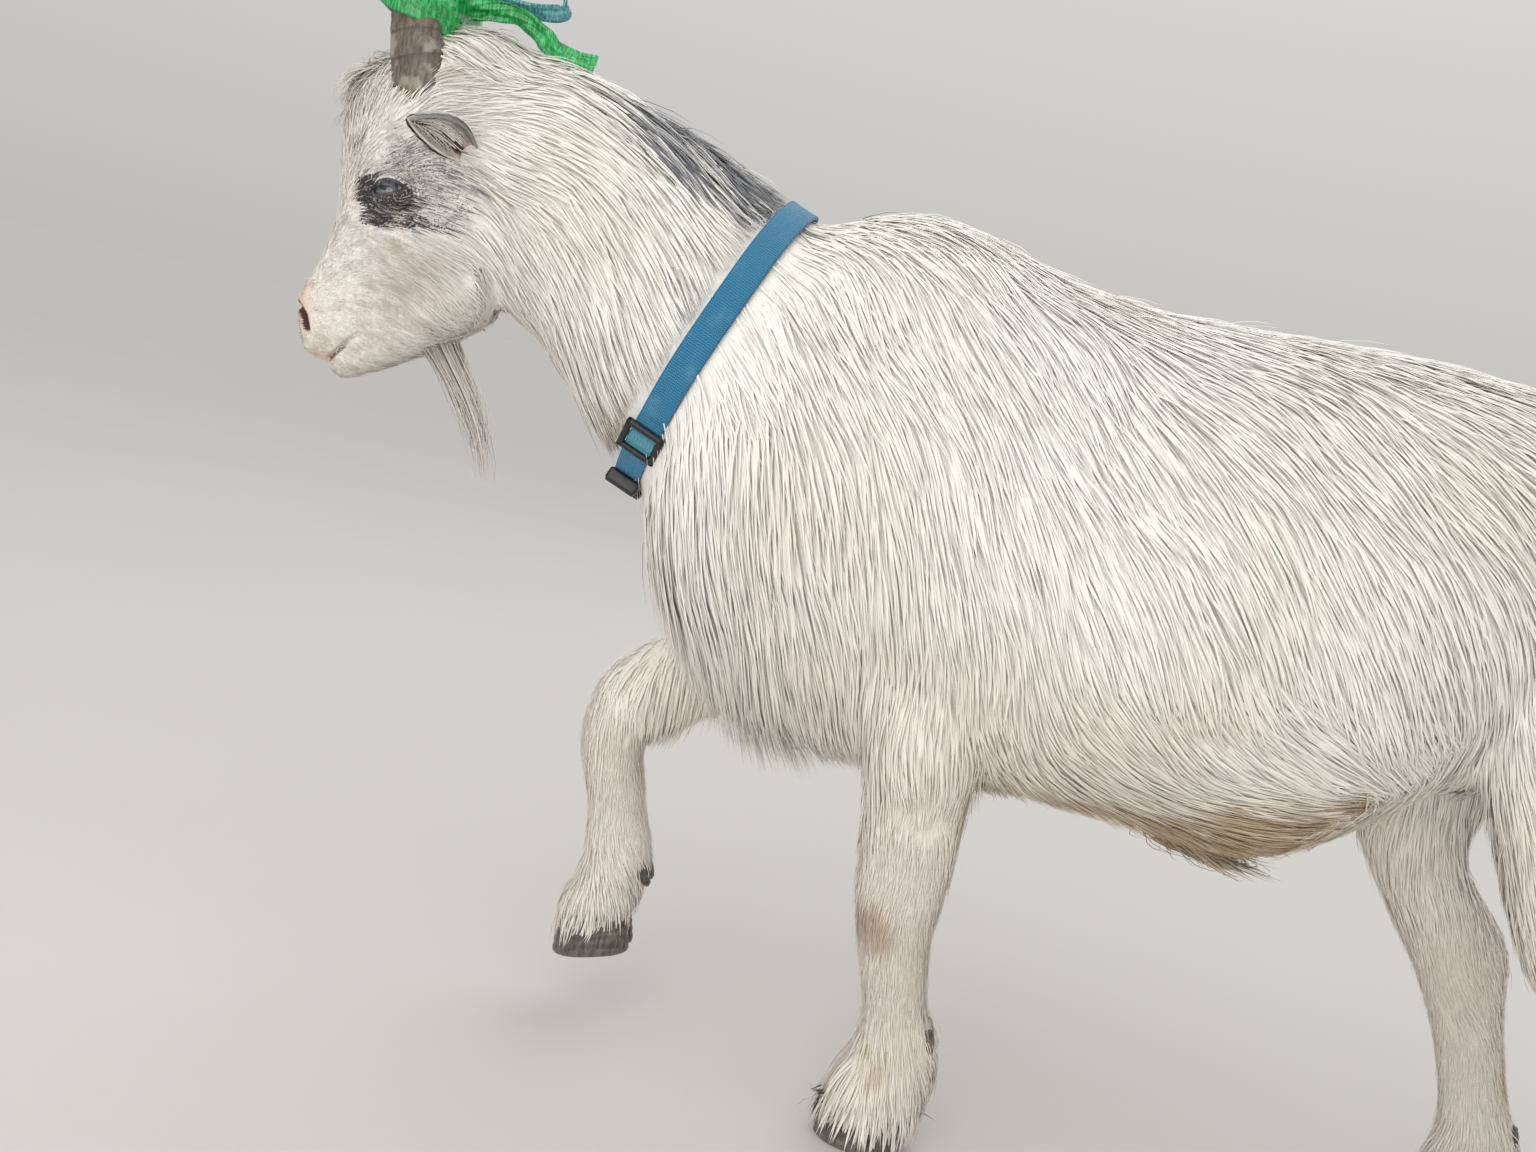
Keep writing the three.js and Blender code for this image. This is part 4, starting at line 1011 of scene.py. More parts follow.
def make_eye(name, side, material):
    middle, along, up, gaze = eye_axes(side)
    ball = fresh(bpy.ops.mesh.primitive_uv_sphere_add, segments=64, ring_count=48,
                 radius=EYE_RADIUS * MM)
    points = corners(ball)
    out = points[:, 2]
    from_axis = np.hypot(points[:, 0], points[:, 1]) / MM
    bulged = CORNEA * np.clip(1 - (from_axis / IRIS) ** 2, 0, 1) * (out > 0)
    across, high, deep = points[:, :1], points[:, 1:2], (out + bulged * MM)[:, None]
    set_corners(ball, middle + along * across + up * high + gaze * deep)
    righted(ball)
    patterned(ball, across=across / MM, high=high / MM, front=out / MM)
    return stands_for(finished(ball, name, material), name)


def make_lid_rims(name, side, material):
    """The bare dark edge of both lids, a thin roll round the eye's opening."""
    middle, along, up, gaze = eye_axes(side)
    rings = []
    for turn in np.linspace(0, 2 * np.pi, 72, endpoint=False):
        u = EYE_OPEN[0] * np.cos(turn)
        high, low = lid_edge(u)
        v = high if np.sin(turn) > 0 else low
        depth = np.sqrt((EYE_RADIUS + 0.9) ** 2 - u * u - v * v)
        place = np.array([u, v])
        away = place / max(np.hypot(*place), 1e-6)
        roll = 1.25 if np.sin(turn) > 0 else 1.0
        ring = []
        for swing in np.arange(10) * 2 * np.pi / 10:
            a = place + away * roll * 1.2 * np.cos(swing)
            ring.append(middle + (along * a[0] + up * a[1]
                                  + gaze * (depth + roll * np.sin(swing))) * MM)
        rings.append(ring)
    return added(finished(hoop(name, rings), name, material))


# ---------------------------------------------------------------- ears
EAR_BASE, EAR_TIP = (51, -418, 605), (101, -442, 614)
EAR_FACING = (0.42, 0.56, -0.72)      # the way the ear's opening looks
EAR_WIDE, EAR_CURL, EAR_THICK = 13.5, 1.5, 2.4


def ear_frame(side):
    """The ear's root, its tip, its upward direction and the way its opening looks."""
    base, tip = located(EAR_BASE, side), located(EAR_TIP, side)
    ahead = unit(tip - base)
    facing = np.array(mirrored(EAR_FACING, side))
    facing = unit(facing - ahead * (facing @ ahead))
    upright = np.cross(facing, ahead)
    return base, tip, upright * np.sign(upright[2]), facing


def ear_places(side, t, s):
    """Places on the ear: t runs from its root to its tip and s across it from -1 to 1."""
    base, tip, upright, facing = ear_frame(side)
    leaf = np.sin(np.pi * (0.16 + 0.84 * t)) ** 0.8 * (1 - 0.15 * t)
    half = np.maximum(EAR_WIDE * leaf, 0.5) * MM
    curl = EAR_CURL * (1 - 0.4 * t)
    middle = base + (tip - base) * t[:, None]
    middle[:, 2] += (4 * np.sin(np.pi * t) - 2 * t) * MM
    radius = half / np.sin(curl)
    swing = s * curl
    wave = 0.5 * np.sin(7 * t + 3 * s) * MM * np.abs(s)
    return (middle + upright * (radius * np.sin(swing))[:, None]
            - facing * (radius * (np.cos(swing) - np.cos(curl)) + wave)[:, None])


def make_ear(name, side, outside, inside):
    ear = fresh(bpy.ops.mesh.primitive_grid_add, x_subdivisions=44, y_subdivisions=30, size=2)
    flat = corners(ear)
    t, s = (flat[:, 0] + 1) / 2, flat[:, 1]
    places = ear_places(side, t, s)
    set_corners(ear, places)
    patterned(ear, along=t, across=np.abs(s), upper=s)
    finished(ear, name, outside, inside)
    back = -ear_frame(side)[3]
    first = ear.data.polygons[len(ear.data.polygons) // 2].normal
    if np.dot(first, back) < 0:
        only(ear)
        bpy.ops.object.mode_set(mode="EDIT")
        bpy.ops.mesh.select_all(action="SELECT")
        bpy.ops.mesh.flip_normals()
        bpy.ops.object.mode_set(mode="OBJECT")
    modified(ear, "SOLIDIFY", thickness=EAR_THICK * MM, offset=0, material_offset=1,
             material_offset_rim=0)
    modified(ear, "SMOOTH", factor=0.5, iterations=2)
    ear.data.polygons.foreach_set("use_smooth", [True] * len(ear.data.polygons))
    return stands_for(ear, name)


# ---------------------------------------------------------------- horns
HORN_ROUTE = [(35, -451, 614), (39, -465, 654), (38, -475, 690), (38, -475, 728),
              (43, -452, 768), (49, -414, 798), (52, -384, 806)]
HORN_DEEP, HORN_WIDE, HORN_KEEL = 19, 12.5, 2.5
HORN_RINGS, HORN_SIDES = 110, 40


def make_horn(name, side, material):
    route = [mirrored(place, side) for place in HORN_ROUTE]
    shares = np.linspace(0, 1, HORN_RINGS)
    middle = along_route(route, shares)
    outer, fore = framed(middle, np.array([1.0, 0, 0]))[1:]
    if fore[0, 1] > 0:
        fore = -fore
    turns = 2 * np.pi * np.arange(HORN_SIDES) / HORN_SIDES
    rings, growth = [], []
    for k, t in enumerate(shares):
        taper = 1 - 0.86 * t ** 1.3
        if t > 0.97:
            taper *= np.sqrt(max(1 - ((t - 0.97) / 0.03) ** 2, 0.02))
        step = (t * 21 + 0.6 * np.sin(t * 17)) % 1
        swell = (0.75 * (1 - step) ** 2 - 0.3) * (1 - t) ** 0.5
        keel = HORN_KEEL * taper * np.exp(-(np.minimum(turns, 2 * np.pi - turns) / 0.4) ** 2)
        lump = 0.25 * np.sin(3 * turns + 9 * t) + 0.2 * np.sin(7 * turns - 5 * t)
        deep = HORN_DEEP * taper + (swell + lump) * taper ** 0.5
        wide = HORN_WIDE * taper + (swell + lump) * taper ** 0.5
        rings.append(middle[k] + (fore[k] * ((deep * np.cos(turns)) + keel)[:, None]
                                  + outer[k] * (wide * np.sin(turns))[:, None]) * MM)
        growth.append(np.full(HORN_SIDES, step))
    horn = loft(name, rings)
    tree = kdtree.KDTree(len(rings) * HORN_SIDES)
    for k, place in enumerate(np.concatenate(rings)):
        tree.insert(place, k)
    tree.balance()
    order = [tree.find(p)[1] for p in corners(horn)]
    patterned(horn, growth=np.concatenate(growth)[order],
              reach=np.repeat(shares, HORN_SIDES)[order],
              turn=np.tile(turns, HORN_RINGS)[order])
    return stands_for(finished(horn, name, material), name)


# ---------------------------------------------------------------- feet
HOOF_HIGH, HOOF_TOE, HOOF_WIDE, HOOF_CLEFT, HOOF_RISE = 30, 36, 22, 1.4, 4
CLAW_OUTLINE = [(1.0, 0.16), (0.93, 0.42), (0.76, 0.72), (0.5, 0.92), (0.2, 1.0), (-0.2, 0.98),
                (-0.45, 0.9), (-0.6, 0.72), (-0.69, 0.5), (-0.69, 0.2), (-0.6, 0.05), (-0.3, 0.0),
                (0.0, 0.0), (0.4, 0.0), (0.8, 0.02), (0.95, 0.06)]
# A claw from the ground up: its height, and how long, wide and far back it is there.
CLAW_PROFILE = [(0.0, 0.93, 0.9), (0.02, 0.98, 0.97), (0.07, 1.0, 1.0), (0.5, 0.955, 0.955),
                (0.9, 0.885, 0.91), (0.97, 0.86, 0.89), (1.0, 0.8, 0.82)]


def make_claw(name, form, out, material):
    middle, down, forward = foot_frame(form)
    stops = np.array(CLAW_OUTLINE) * (HOOF_TOE, HOOF_WIDE)
    outline = smooth(stops, np.arange(4 * len(stops)) / 4, closed=True)
    rings = []
    table = np.array(CLAW_PROFILE)
    for up in np.concatenate([[0, 0.02, 0.07], np.linspace(0.12, 0.9, 26), [0.97, 1.0]]):
        long, wide = (np.interp(up, table[:, 0], table[:, k]) for k in (1, 2))
        ridge = 0.22 * np.sin(up * 40 + 2 * np.sin(up * 9)) * (0.1 < up < 0.93)
        lengthwise = outline[:, 0] * long + np.sign(outline[:, 0]) * ridge - HOOF_RISE * up
        sideways = HOOF_CLEFT + outline[:, 1] * wide + ridge * (outline[:, 1] > 2)
        rings.append(middle + (down * HOOF_HIGH * (1 - up)
                               + forward * lengthwise[:, None]
                               + np.array([out, 0, 0]) * sideways[:, None]) * MM)
    claw = loft(name, rings)
    height = (middle + down * HOOF_HIGH * MM - corners(claw)) @ down / (HOOF_HIGH * MM)
    patterned(claw, rise=height, toe=(corners(claw) - middle) @ forward / (HOOF_TOE * MM))
    return stands_for(finished(claw, name, material), name)


def make_dewclaw(name, form, out, material):
    down, forward = foot_frame(form)[1:]
    root = surface(form, len(form) - 4.2, 0.5 - 0.075 * out, 4.5)
    turns = 2 * np.pi * np.arange(20) / 20
    rings = []
    for t in np.linspace(-0.4, 0.95, 16):
        radius = 6.5 * np.interp(t, (-0.4, 0.1, 0.5, 0.8, 0.95), (0.8, 1.0, 0.86, 0.6, 0.25))
        radius += 0.12 * np.sin(t * 26)
        ahead = forward * (-4 * t + radius * 0.9 * np.cos(turns))[:, None]
        aside = np.array([1, 0, 0]) * (radius * np.sin(turns))[:, None]
        rings.append(root + (down * 16 * t + ahead + aside) * MM)
    claw = loft(name, rings)
    patterned(claw, rise=np.clip((corners(claw) - root) @ -down / (16 * MM) + 0.95, 0, 1.4),
              toe=np.zeros(len(claw.data.vertices)))
    return stands_for(finished(claw, name, material), name)


# ---------------------------------------------------------------- collar
STRAP_WIDE, STRAP_THICK, STRAP_INSET = 20, 2.2, 2.4
SLIDER_TURN, BUCKLE_TURN = 0.37, 0.475


def strap_place(turn, lift):
    return surface(NECK, COLLAR_SECTION, turn, -lift)


def make_strap(material):
    edge = [(-1, 0.25), (-0.985, 0.0), (-0.93, -0.08), (0.93, -0.08), (0.985, 0.0), (1, 0.25),
            (1, 0.75), (0.985, 1.0), (0.93, 1.08), (0.31, 1.0), (-0.31, 1.0), (-0.93, 1.08),
            (-0.985, 1.0), (-1, 0.75)]
    lengthwise, last = 0.0, strap_place(0, -STRAP_INSET)
    rings, far, wide = [], [], []
    for turn in np.arange(160) / 160:
        low, high = strap_place(turn, -STRAP_INSET - STRAP_THICK), strap_place(turn, -STRAP_INSET)
        ripple = COLLAR_ACROSS * (0.25 * np.sin(turn * 38) * MM)
        rings.append([low + (high - low) * h + COLLAR_ACROSS * (w * STRAP_WIDE / 2 * MM) + ripple
                      for w, h in edge])
        lengthwise += float(np.linalg.norm(high - last))
        last = high
        far += [lengthwise / MM] * len(edge)
        wide += [w * STRAP_WIDE / 2 for w, h in edge]
    strap = hoop("collar_webbing", rings)
    patterned(strap, far=far, wide=wide)
    finished(strap, "collar_webbing", material)
    strap.data.shade_smooth()
    return stands_for(strap, "collar_strap")


def set_on_strap(piece, turn, lift):
    """Moves a piece modelled at the origin, its length along x and its top up, onto the strap."""
    place = strap_place(turn, lift)
    ahead = unit(strap_place(turn + 0.01, lift) - place)
    out = unit(np.cross(ahead, COLLAR_ACROSS))
    if out @ (place - strap_place(turn + 0.5, lift)) < 0:
        out = -out
    points = corners(piece)
    set_corners(piece, place + points[:, :1] * ahead + points[:, 1:2] * np.cross(out, ahead)
                + points[:, 2:] * out)
    return righted(piece)


def block(size, place=(0, 0, 0), soft=0.8, steps=3):
    """A block with rounded edges, in millimetres."""
    piece = fresh(bpy.ops.mesh.primitive_cube_add, size=1)
    set_corners(piece, corners(piece) * np.array(size) * MM + np.array(place) * MM)
    return modified(piece, "BEVEL", width=soft * MM, segments=steps, limit_method="ANGLE")


def cut(piece, tool):
    modified(piece, "BOOLEAN", object=tool, operation="DIFFERENCE", solver="EXACT")
    bpy.data.objects.remove(tool)
    return piece


def make_slider(material):
    bars = [block((4.6, 29, 5), (x, 0, 0.5), 1.6) for x in (-10, 10)]
    bars += [block((24.6, 4.4, 5), (0, y, 0.5), 1.6) for y in (-12.3, 12.3)]
    bars.append(block((4, 25, 2.2), (0, 0, -0.6), 0.6))
    slider = set_on_strap(joined(bars), SLIDER_TURN, -0.6)
    finished(slider, "collar_slider_frame", material)
    return stands_for(slider, "collar_slider")


def make_buckle(material):
    parts = [block((21, 24, 10), (-10.5, 0, 0), 2.4, 4)]
    for y in (-8.2, 8.2):
        cut(parts[0], block((11, 4.2, 20), (-9, y * 1.42, 0), 0.5))
    parts.append(block((11, 24, 8), (15.5, 0, 0), 1.8, 4))
    parts.append(block((20, 6, 3.6), (2, 0, 0), 0.9))
    for y in (-8.4, 8.4):
        parts.append(block((24, 4.2, 4.4), (0, y, 0), 1.3))
    parts.append(block((2.6, 22, 2.2), (-17.5, 0, 4.6), 0.7))
    parts.append(block((2.6, 22, 2.2), (17.5, 0, 3.8), 0.7))
    buckle = set_on_strap(joined(parts), BUCKLE_TURN, 1.2)
    finished(buckle, "collar_side_release_buckle", material)
    return stands_for(buckle, "collar_buckle")


def make_doubled_strap(material):
    """The strap's loose end, which lies on the strap from the slider to the buckle."""
    rings = []
    for turn in np.linspace(SLIDER_TURN - 0.028, BUCKLE_TURN - 0.02, 30):
        base = strap_place(turn, -STRAP_INSET + 0.15)
        out = unit(strap_place(turn, 0) - strap_place(turn, -1))
        hump = 0.9 * np.exp(-((turn - SLIDER_TURN) / 0.012) ** 2)
        rings.append([base + (out * (h * 1.5 + hump)
                              + COLLAR_ACROSS * w * (STRAP_WIDE / 2 - 0.4)) * MM
                      for w, h in ((-1, 0), (1, 0), (1, 1), (0.9, 1.1), (-0.9, 1.1), (-1, 1))])
    end = loft("collar_webbing_end", rings)
    points = corners(end)
    start = strap_place(SLIDER_TURN, 0)
    far = np.linalg.norm(points - start, axis=1)
    patterned(end, far=far / MM, wide=(points - start) @ COLLAR_ACROSS / MM,
              faded=np.exp(-(far / 11 / MM) ** 4))
    return added(finished(end, "collar_webbing_end", material, smooth=False))


# ---------------------------------------------------------------- ribbon
RIBBON_WIDE, RIBBON_THICK = 15, 0.7
RIBBON_TAIL = [(4, -461, 700), (6, -444, 705), (5, -420, 707), (3, -402, 699), (2, -388, 690),
               (0, -362, 687)]
RIBBON_LOOPS = {
    "ribbon_loop_teal": [(-2, -458, 716), (0, -436, 738), (2, -402, 736), (0, -390, 718),
                         (-2, -418, 713), (-2, -446, 715)],
    "ribbon_loop_left": [(4, -507, 706), (30, -518, 734), (62, -514, 744), (72, -504, 722),
                         (56, -508, 706), (30, -510, 702)],
    "ribbon_loop_right": [(-4, -507, 706), (-28, -518, 734), (-58, -516, 746), (-70, -506, 726),
                          (-54, -508, 708), (-30, -510, 702)],
}
RIBBON_ACROSS = 17       # corners across a ribbon, on each of its two faces


def ribbon_rings(middle, sideways, wide, round_again, folds, phase):
    """Rings across a ribbon whose surface runs in soft lengthwise folds."""
    side, up = framed(middle, sideways, round_again)[1:]
    spread = np.linspace(-1, 1, RIBBON_ACROSS)
    rings = []
    for k in range(len(middle)):
        share = k / len(middle)
        fold = folds * (np.sin(spread * 5 + 6.283 * 2 * share + phase)
                        + 0.5 * np.sin(spread * 11 - 6.283 * 3 * share))
        width = wide / 2 * (1 - 0.12 * np.sin(6.283 * 3 * share + phase) ** 2)
        top, low = (middle[k] + (side[k] * (spread * width)[:, None]
                                 + up[k] * (fold + lift)[:, None]) * MM
                    for lift in (RIBBON_THICK / 2, -RIBBON_THICK / 2))
        rings.append(np.concatenate([top, low[::-1]]))
    return rings


def make_ribbon_tail(material):
    shares = np.linspace(0, 1, 60)
    middle = along_route(RIBBON_TAIL, shares)
    twist = np.interp(shares, (0, 0.35, 0.7, 1), (0.3, 0.9, 1.5, 1.9)) + 0.15 * np.sin(shares * 9)
    sideways = np.stack([np.cos(twist), np.zeros(60), np.sin(twist)], 1)
    tail = loft("ribbon_end", ribbon_rings(middle, sideways, RIBBON_WIDE, False, 1.0, 0.4))
    finished(tail, "ribbon_end", material)
    return stands_for(tail, "ribbon_tail")


def make_ribbon_loop(node, material):
    route = RIBBON_LOOPS[node]
    stops = np.array(route, float)
    middle = along_loop(route, np.arange(96) / 96)
    spread = stops[2] - stops.mean(0)
    axis = unit(np.cross(spread, stops[1] - stops.mean(0)))
    phase = len(node) * 1.7
    sway = np.sin(6.283 * np.arange(96) / 96 + phase)[:, None] * np.array([0.12, 0.1, 0.12])
    tilt = np.array([0, 0, 0.9 if "teal" in node else 0.0])
    rings = ribbon_rings(middle, axis + sway + tilt, RIBBON_WIDE, True, 0.8, phase)
    loop = hoop(f"{node}_folded", rings)
    finished(loop, f"{node}_folded", material)
    return stands_for(loop, node)


def make_ribbon_band(material):
    rings = []
    for turn in np.arange(140) / 140 * 2 * np.pi:
        rounded = [np.sign(v) * np.abs(v) ** 0.75 for v in (np.sin(turn), np.cos(turn))]
        ring = []
        low = 684 - 8 * np.cos(turn) + 1.2 * np.sin(turn * 3)
        for height in np.linspace(0, 1, RIBBON_ACROSS):
            pleat = (0.9 * np.sin(height * 19 + 2.5 * np.sin(turn * 2))
                     + 0.8 * np.sin(height * 9 - turn * 5)) * np.sin(np.pi * height)
            wide = np.array([51.0, 29.0]) + pleat - 1.2 * (2 * height - 1) ** 2
            ring.append(at(rounded[0] * wide[0], -480 + rounded[1] * wide[1],
                           low + (708.5 - low) * height))
        inner = [at(rounded[0] * 49.0, -480 + rounded[1] * 27.0, low + (708.5 - low) * height)
                 for height in np.linspace(1, 0, 5)]
        rings.append([*ring, *inner])
    band = hoop("ribbon_round_horns", rings)
    finished(band, "ribbon_round_horns", material)
    return stands_for(band, "ribbon_band")


# ---------------------------------------------------------------- coat
# How the coat lies at places on the goat: which side the place is on (0 for both, as mirror
# images), the place, the way the hair points, its length in millimetres, how far its tips
# stand off the skin, and how far they hang straight down instead of following the skin.
COAT_GUIDES = [
    # face
    (0, (0, -537, 487), (0, 0.3, 1), 4, 0.6, 0), (0, (20, -528, 490), (0.3, 1, 0.5), 4, 0.6, 0),
    (0, (22, -508, 462), (0.1, 1, 0), 5, 0.8, 0), (0, (0, -527, 540), (0, 0.2, 1), 8, 1.2, 0),
    (0, (0, -524, 596), (0, 0.2, 1), 13, 2.2, 0),
    (0, (0, -514, 648), (0.1, -0.5, -0.7), 24, 13, 0),
    (0, (20, -508, 640), (0.4, -0.3, -0.8), 20, 9, 0),
    (0, (0, -496, 668), (0, -0.7, -0.2), 24, 13, 0),
    (0, (40, -496, 626), (0.2, 0.5, 1), 17, 4, 0), (0, (36, -510, 530), (0.1, 1, 0.5), 8, 1.3, 0),
    (0, (48, -470, 636), (0.2, 0.5, 1), 22, 6, 0), (0, (34, -490, 642), (0.1, 0.6, 0.9), 28, 8, 0),
    (0, (48, -446, 640), (0.2, 1, 0.3), 26, 6, 0),
    (0, (50, -478, 545), (0.1, 1, -0.1), 10, 1.6, 0),
    (0, (52, -470, 600), (0.2, 0.9, 0.5), 11, 1.8, 0),
    (0, (50, -440, 570), (0.1, 1, -0.3), 14, 2.5, 0),
    (0, (46, -420, 530), (0.1, 0.9, -0.6), 28, 5, 0),
    (0, (30, -470, 475), (0, 1, -0.3), 9, 1.4, 0), (0, (0, -500, 441), (0, 1, -0.3), 9, 1.6, 0),
    (0, (0, -455, 455), (0, 1, -0.5), 14, 2.5, 0.1), (0, (48, -395, 600), (0.2, 1, -0.4), 32, 7, 0),
    (0, (0, -466, 686), (0, 1, 0.3), 34, 10, 0), (0, (0, -430, 694), (0.1, 1, -0.2), 40, 9, 0),
    (0, (48, -400, 560), (0, 0.7, -0.8), 34, 6, 0),
    (0, (34, -448, 672), (0.5, 1, -0.2), 34, 10, 0),
    # neck
    (0, (0, -410, 475), (0, 0.9, -0.6), 26, 5, 0), (0, (34, -404, 515), (0, 0.7, -0.8), 26, 5, 0),
    (0, (20, -394, 486), (0, 0.3, -1), 14, 2, 0), (0, (47, -402, 518), (0, 0.5, -1), 16, 2, 0),
    (0, (12, -340, 680), (0.45, 1, -0.4), 58, 12, 0),
    (0, (12, -240, 648), (0.5, 1, -0.4), 60, 12, 0), (0, (62, -340, 590), (0, 0.8, -0.8), 50, 9, 0),
    (0, (68, -270, 560), (0, 0.8, -0.9), 56, 10, 0),
    (0, (62, -320, 505), (0, 0.5, -1), 58, 10, 0.15),
    (0, (0, -330, 462), (0, 0.45, -1), 60, 11, 0.15),
    (0, (0, -290, 432), (0, 0.3, -1), 56, 8, 0.05),
    # torso
    (0, (20, -170, 632), (0.5, 1, -0.3), 54, 10, 0), (0, (20, -90, 645), (0.5, 1, -0.2), 50, 9, 0),
    (0, (20, 40, 624), (0.6, 1, -0.1), 46, 9, 0), (0, (20, 200, 628), (0.6, 1, -0.1), 46, 9, 0),
    (0, (90, -160, 560), (0.1, 0.6, -1), 54, 10, 0), (0, (100, 0, 575), (0.3, 0.8, -1), 54, 10, 0),
    (0, (110, 180, 570), (0.3, 0.9, -1), 54, 10, 0),
    (0, (100, -190, 450), (0, 0.4, -1), 60, 11, 0.1),
    (0, (125, -60, 450), (0, 0.5, -1), 58, 11, 0.1),
    (0, (145, 100, 450), (0, 0.7, -1), 60, 11, 0.1),
    (0, (140, 210, 430), (0, 0.7, -1), 60, 11, 0.1),
    (0, (0, -258, 396), (0, 0.1, -1), 70, 15, 0.25),
    (0, (50, -225, 350), (0.1, 0.4, -1), 76, 15, 0.4),
    (0, (0, -200, 305), (0, 0.6, -1), 70, 16, 0.5),
    (0, (100, -80, 320), (0, 0.5, -1), 54, 10, 0.2), (0, (120, -10, 330), (0, 0.5, -1), 44, 8, 0),
    (0, (125, 10, 300), (0, 1, -0.5), 42, 7, 0), (0, (130, 60, 345), (0, 1, -0.55), 48, 8, 0),
    (0, (128, 70, 305), (0, 1, -0.1), 42, 7, 0), (0, (126, 130, 315), (0, 1, 0.05), 42, 7, 0),
    (0, (135, 150, 370), (0, 1, -0.5), 52, 9, 0), (0, (118, 190, 335), (0, 1, 0.25), 40, 7, 0),
    (0, (128, 225, 390), (0, 0.8, -0.5), 50, 9, 0), (0, (80, 40, 268), (0, 1, -0.1), 34, 6, 0.1),
    (0, (70, 130, 262), (0, 1, 0), 34, 7, 0.1), (0, (90, 190, 285), (0, 1, 0.25), 34, 7, 0),
    (0, (0, -60, 265), (0, 1, -0.4), 42, 10, 0.3), (0, (0, 60, 262), (0, 1, -0.2), 34, 8, 0.2),
    (0, (0, 190, 266), (0, 1, -0.3), 34, 9, 0.3), (0, (112, 246, 352), (0, -0.4, -1), 30, 5, 0),
    (0, (92, 235, 318), (0, -0.7, -0.7), 30, 5, 0),
    (0, (60, 240, 300), (0, -0.5, -0.8), 34, 7, 0.1),
    (0, (112, 262, 388), (0, 0.2, -1), 40, 8, 0),
    (0, (90, 320, 590), (0.4, 0.8, -0.8), 50, 10, 0), (0, (0, 420, 600), (0.3, 1, -0.5), 44, 9, 0),
    (0, (60, 440, 560), (0.3, 0.6, -1), 50, 10, 0), (0, (0, 478, 500), (0.1, 0.5, -1), 52, 11, 0.1),
    (0, (0, 400, 390), (0, 0.3, -1), 40, 9, 0.1),
    # tail
    (0, (0, 480, 590), (0, 0.9, -0.5), 52, 8, 0), (0, (0, 538, 520), (0, 0.3, -1), 60, 8, 0.2),
    (0, (0, 500, 535), (0, 0.5, -1), 40, 8, 0.3),
    # left hind leg
    (1, (124, 360, 470), (0, 0.4, -1), 60, 11, 0.1), (1, (126, 335, 400), (0, 0.8, -1), 46, 8, 0),
    (1, (90, 460, 430), (0.1, 0.3, -1), 54, 11, 0.2), (1, (118, 360, 335), (0, 0.9, -1), 38, 6, 0),
    (1, (106, 420, 270), (0, 0.7, -1), 34, 6, 0.1), (1, (78, 470, 225), (0, 0.5, -1), 26, 5, 0.1),
    (1, (98, 430, 215), (0, 0.6, -1), 18, 3.5, 0), (1, (96, 470, 140), (0, 0.3, -1), 15, 3, 0),
    (1, (96, 510, 70), (0, 0, -1), 20, 4.5, 0), (1, (80, 525, 36), (0, 0, -1), 25, 7, 0.1),
    (1, (78, 556, 74), (0, 0.6, -1), 26, 8, 0.2),
    # right hind leg
    (-1, (-124, 345, 470), (0, 0.4, -1), 60, 11, 0.1),
    (-1, (-126, 320, 400), (0, 0.5, -1), 52, 9, 0.1),
    (-1, (-90, 435, 420), (-0.1, 0.2, -1), 52, 10, 0.2),
    (-1, (-116, 340, 330), (0, 0.6, -1), 40, 6, 0.1),
    (-1, (-104, 370, 270), (0, 0.7, -1), 34, 6, 0.1),
    (-1, (-78, 425, 225), (0, 0.5, -1), 26, 5, 0.1),
    (-1, (-96, 395, 215), (0, 0.5, -1), 18, 3.5, 0), (-1, (-96, 430, 140), (0, 0.3, -1), 15, 3, 0),
    (-1, (-96, 455, 70), (0, 0, -1), 20, 4.5, 0), (-1, (-80, 455, 36), (0, 0, -1), 25, 7, 0.1),
    (-1, (-78, 484, 74), (0, 0.6, -1), 26, 8, 0.2),
    # left fore leg
    (1, (108, -40, 350), (0, 0.2, -1), 40, 7, 0.1), (1, (96, -30, 280), (0, 0.1, -1), 28, 5, 0.1),
    (1, (60, 5, 270), (0, 0.3, -1), 30, 5, 0.1), (1, (74, -28, 215), (0, 0, -1), 18, 3.5, 0),
    (1, (45, -15, 130), (0, 0.1, -1), 16, 3.5, 0), (1, (38, 5, 78), (0, 0.1, -1), 25, 6, 0),
    (1, (16, 32, 72), (0, 0.6, -1), 32, 9, 0.2), (1, (16, -35, 52), (0, -0.5, -1), 34, 9, 0),
    (1, (16, 0, 36), (0, 0, -1), 38, 10, 0),
    # right fore leg
    (-1, (-108, -140, 340), (0, -0.4, -1), 38, 7, 0.1),
    (-1, (-100, -200, 290), (0, -0.8, -0.7), 26, 4, 0.1),
    (-1, (-70, -160, 285), (0, -0.7, -1), 30, 5, 0.2), (-1, (-96, -255, 230), (0, 0, -1), 16, 3, 0),
    (-1, (-92, -240, 165), (0, 0.1, -1), 15, 3, 0),
    (-1, (-92, -235, 112), (0, 0.1, -1), 21, 4.5, 0),
    (-1, (-70, -208, 108), (0, 0.6, -1), 30, 9, 0.1), (-1, (-70, -240, 84), (0, 0, -1), 31, 8, 0),
]
LONG_FROM = 28          # hair longer than this is drawn out in four steps, shorter hair in three
COVER_LONG = 3.45       # how many times over the long hair covers the skin
LOCK_SIZE = 10 * MM     # how far apart the locks are that the hair gathers in
SOFTNESS = 0.88         # how far a tuft takes its shading from the form under it
LIFE = np.random.default_rng(7)
noise.seed_set(7)       # the wandering of the coat's lie is then the same on every run
# How the lie of the coat wanders, alike in neighbouring hairs: waves to the metre and how much.
DRIFTS = [(11, 0.34), (29, 0.22)]
OFF_FLOOR = 1.5 * MM    # the lowest that a hair hangs, above the floor
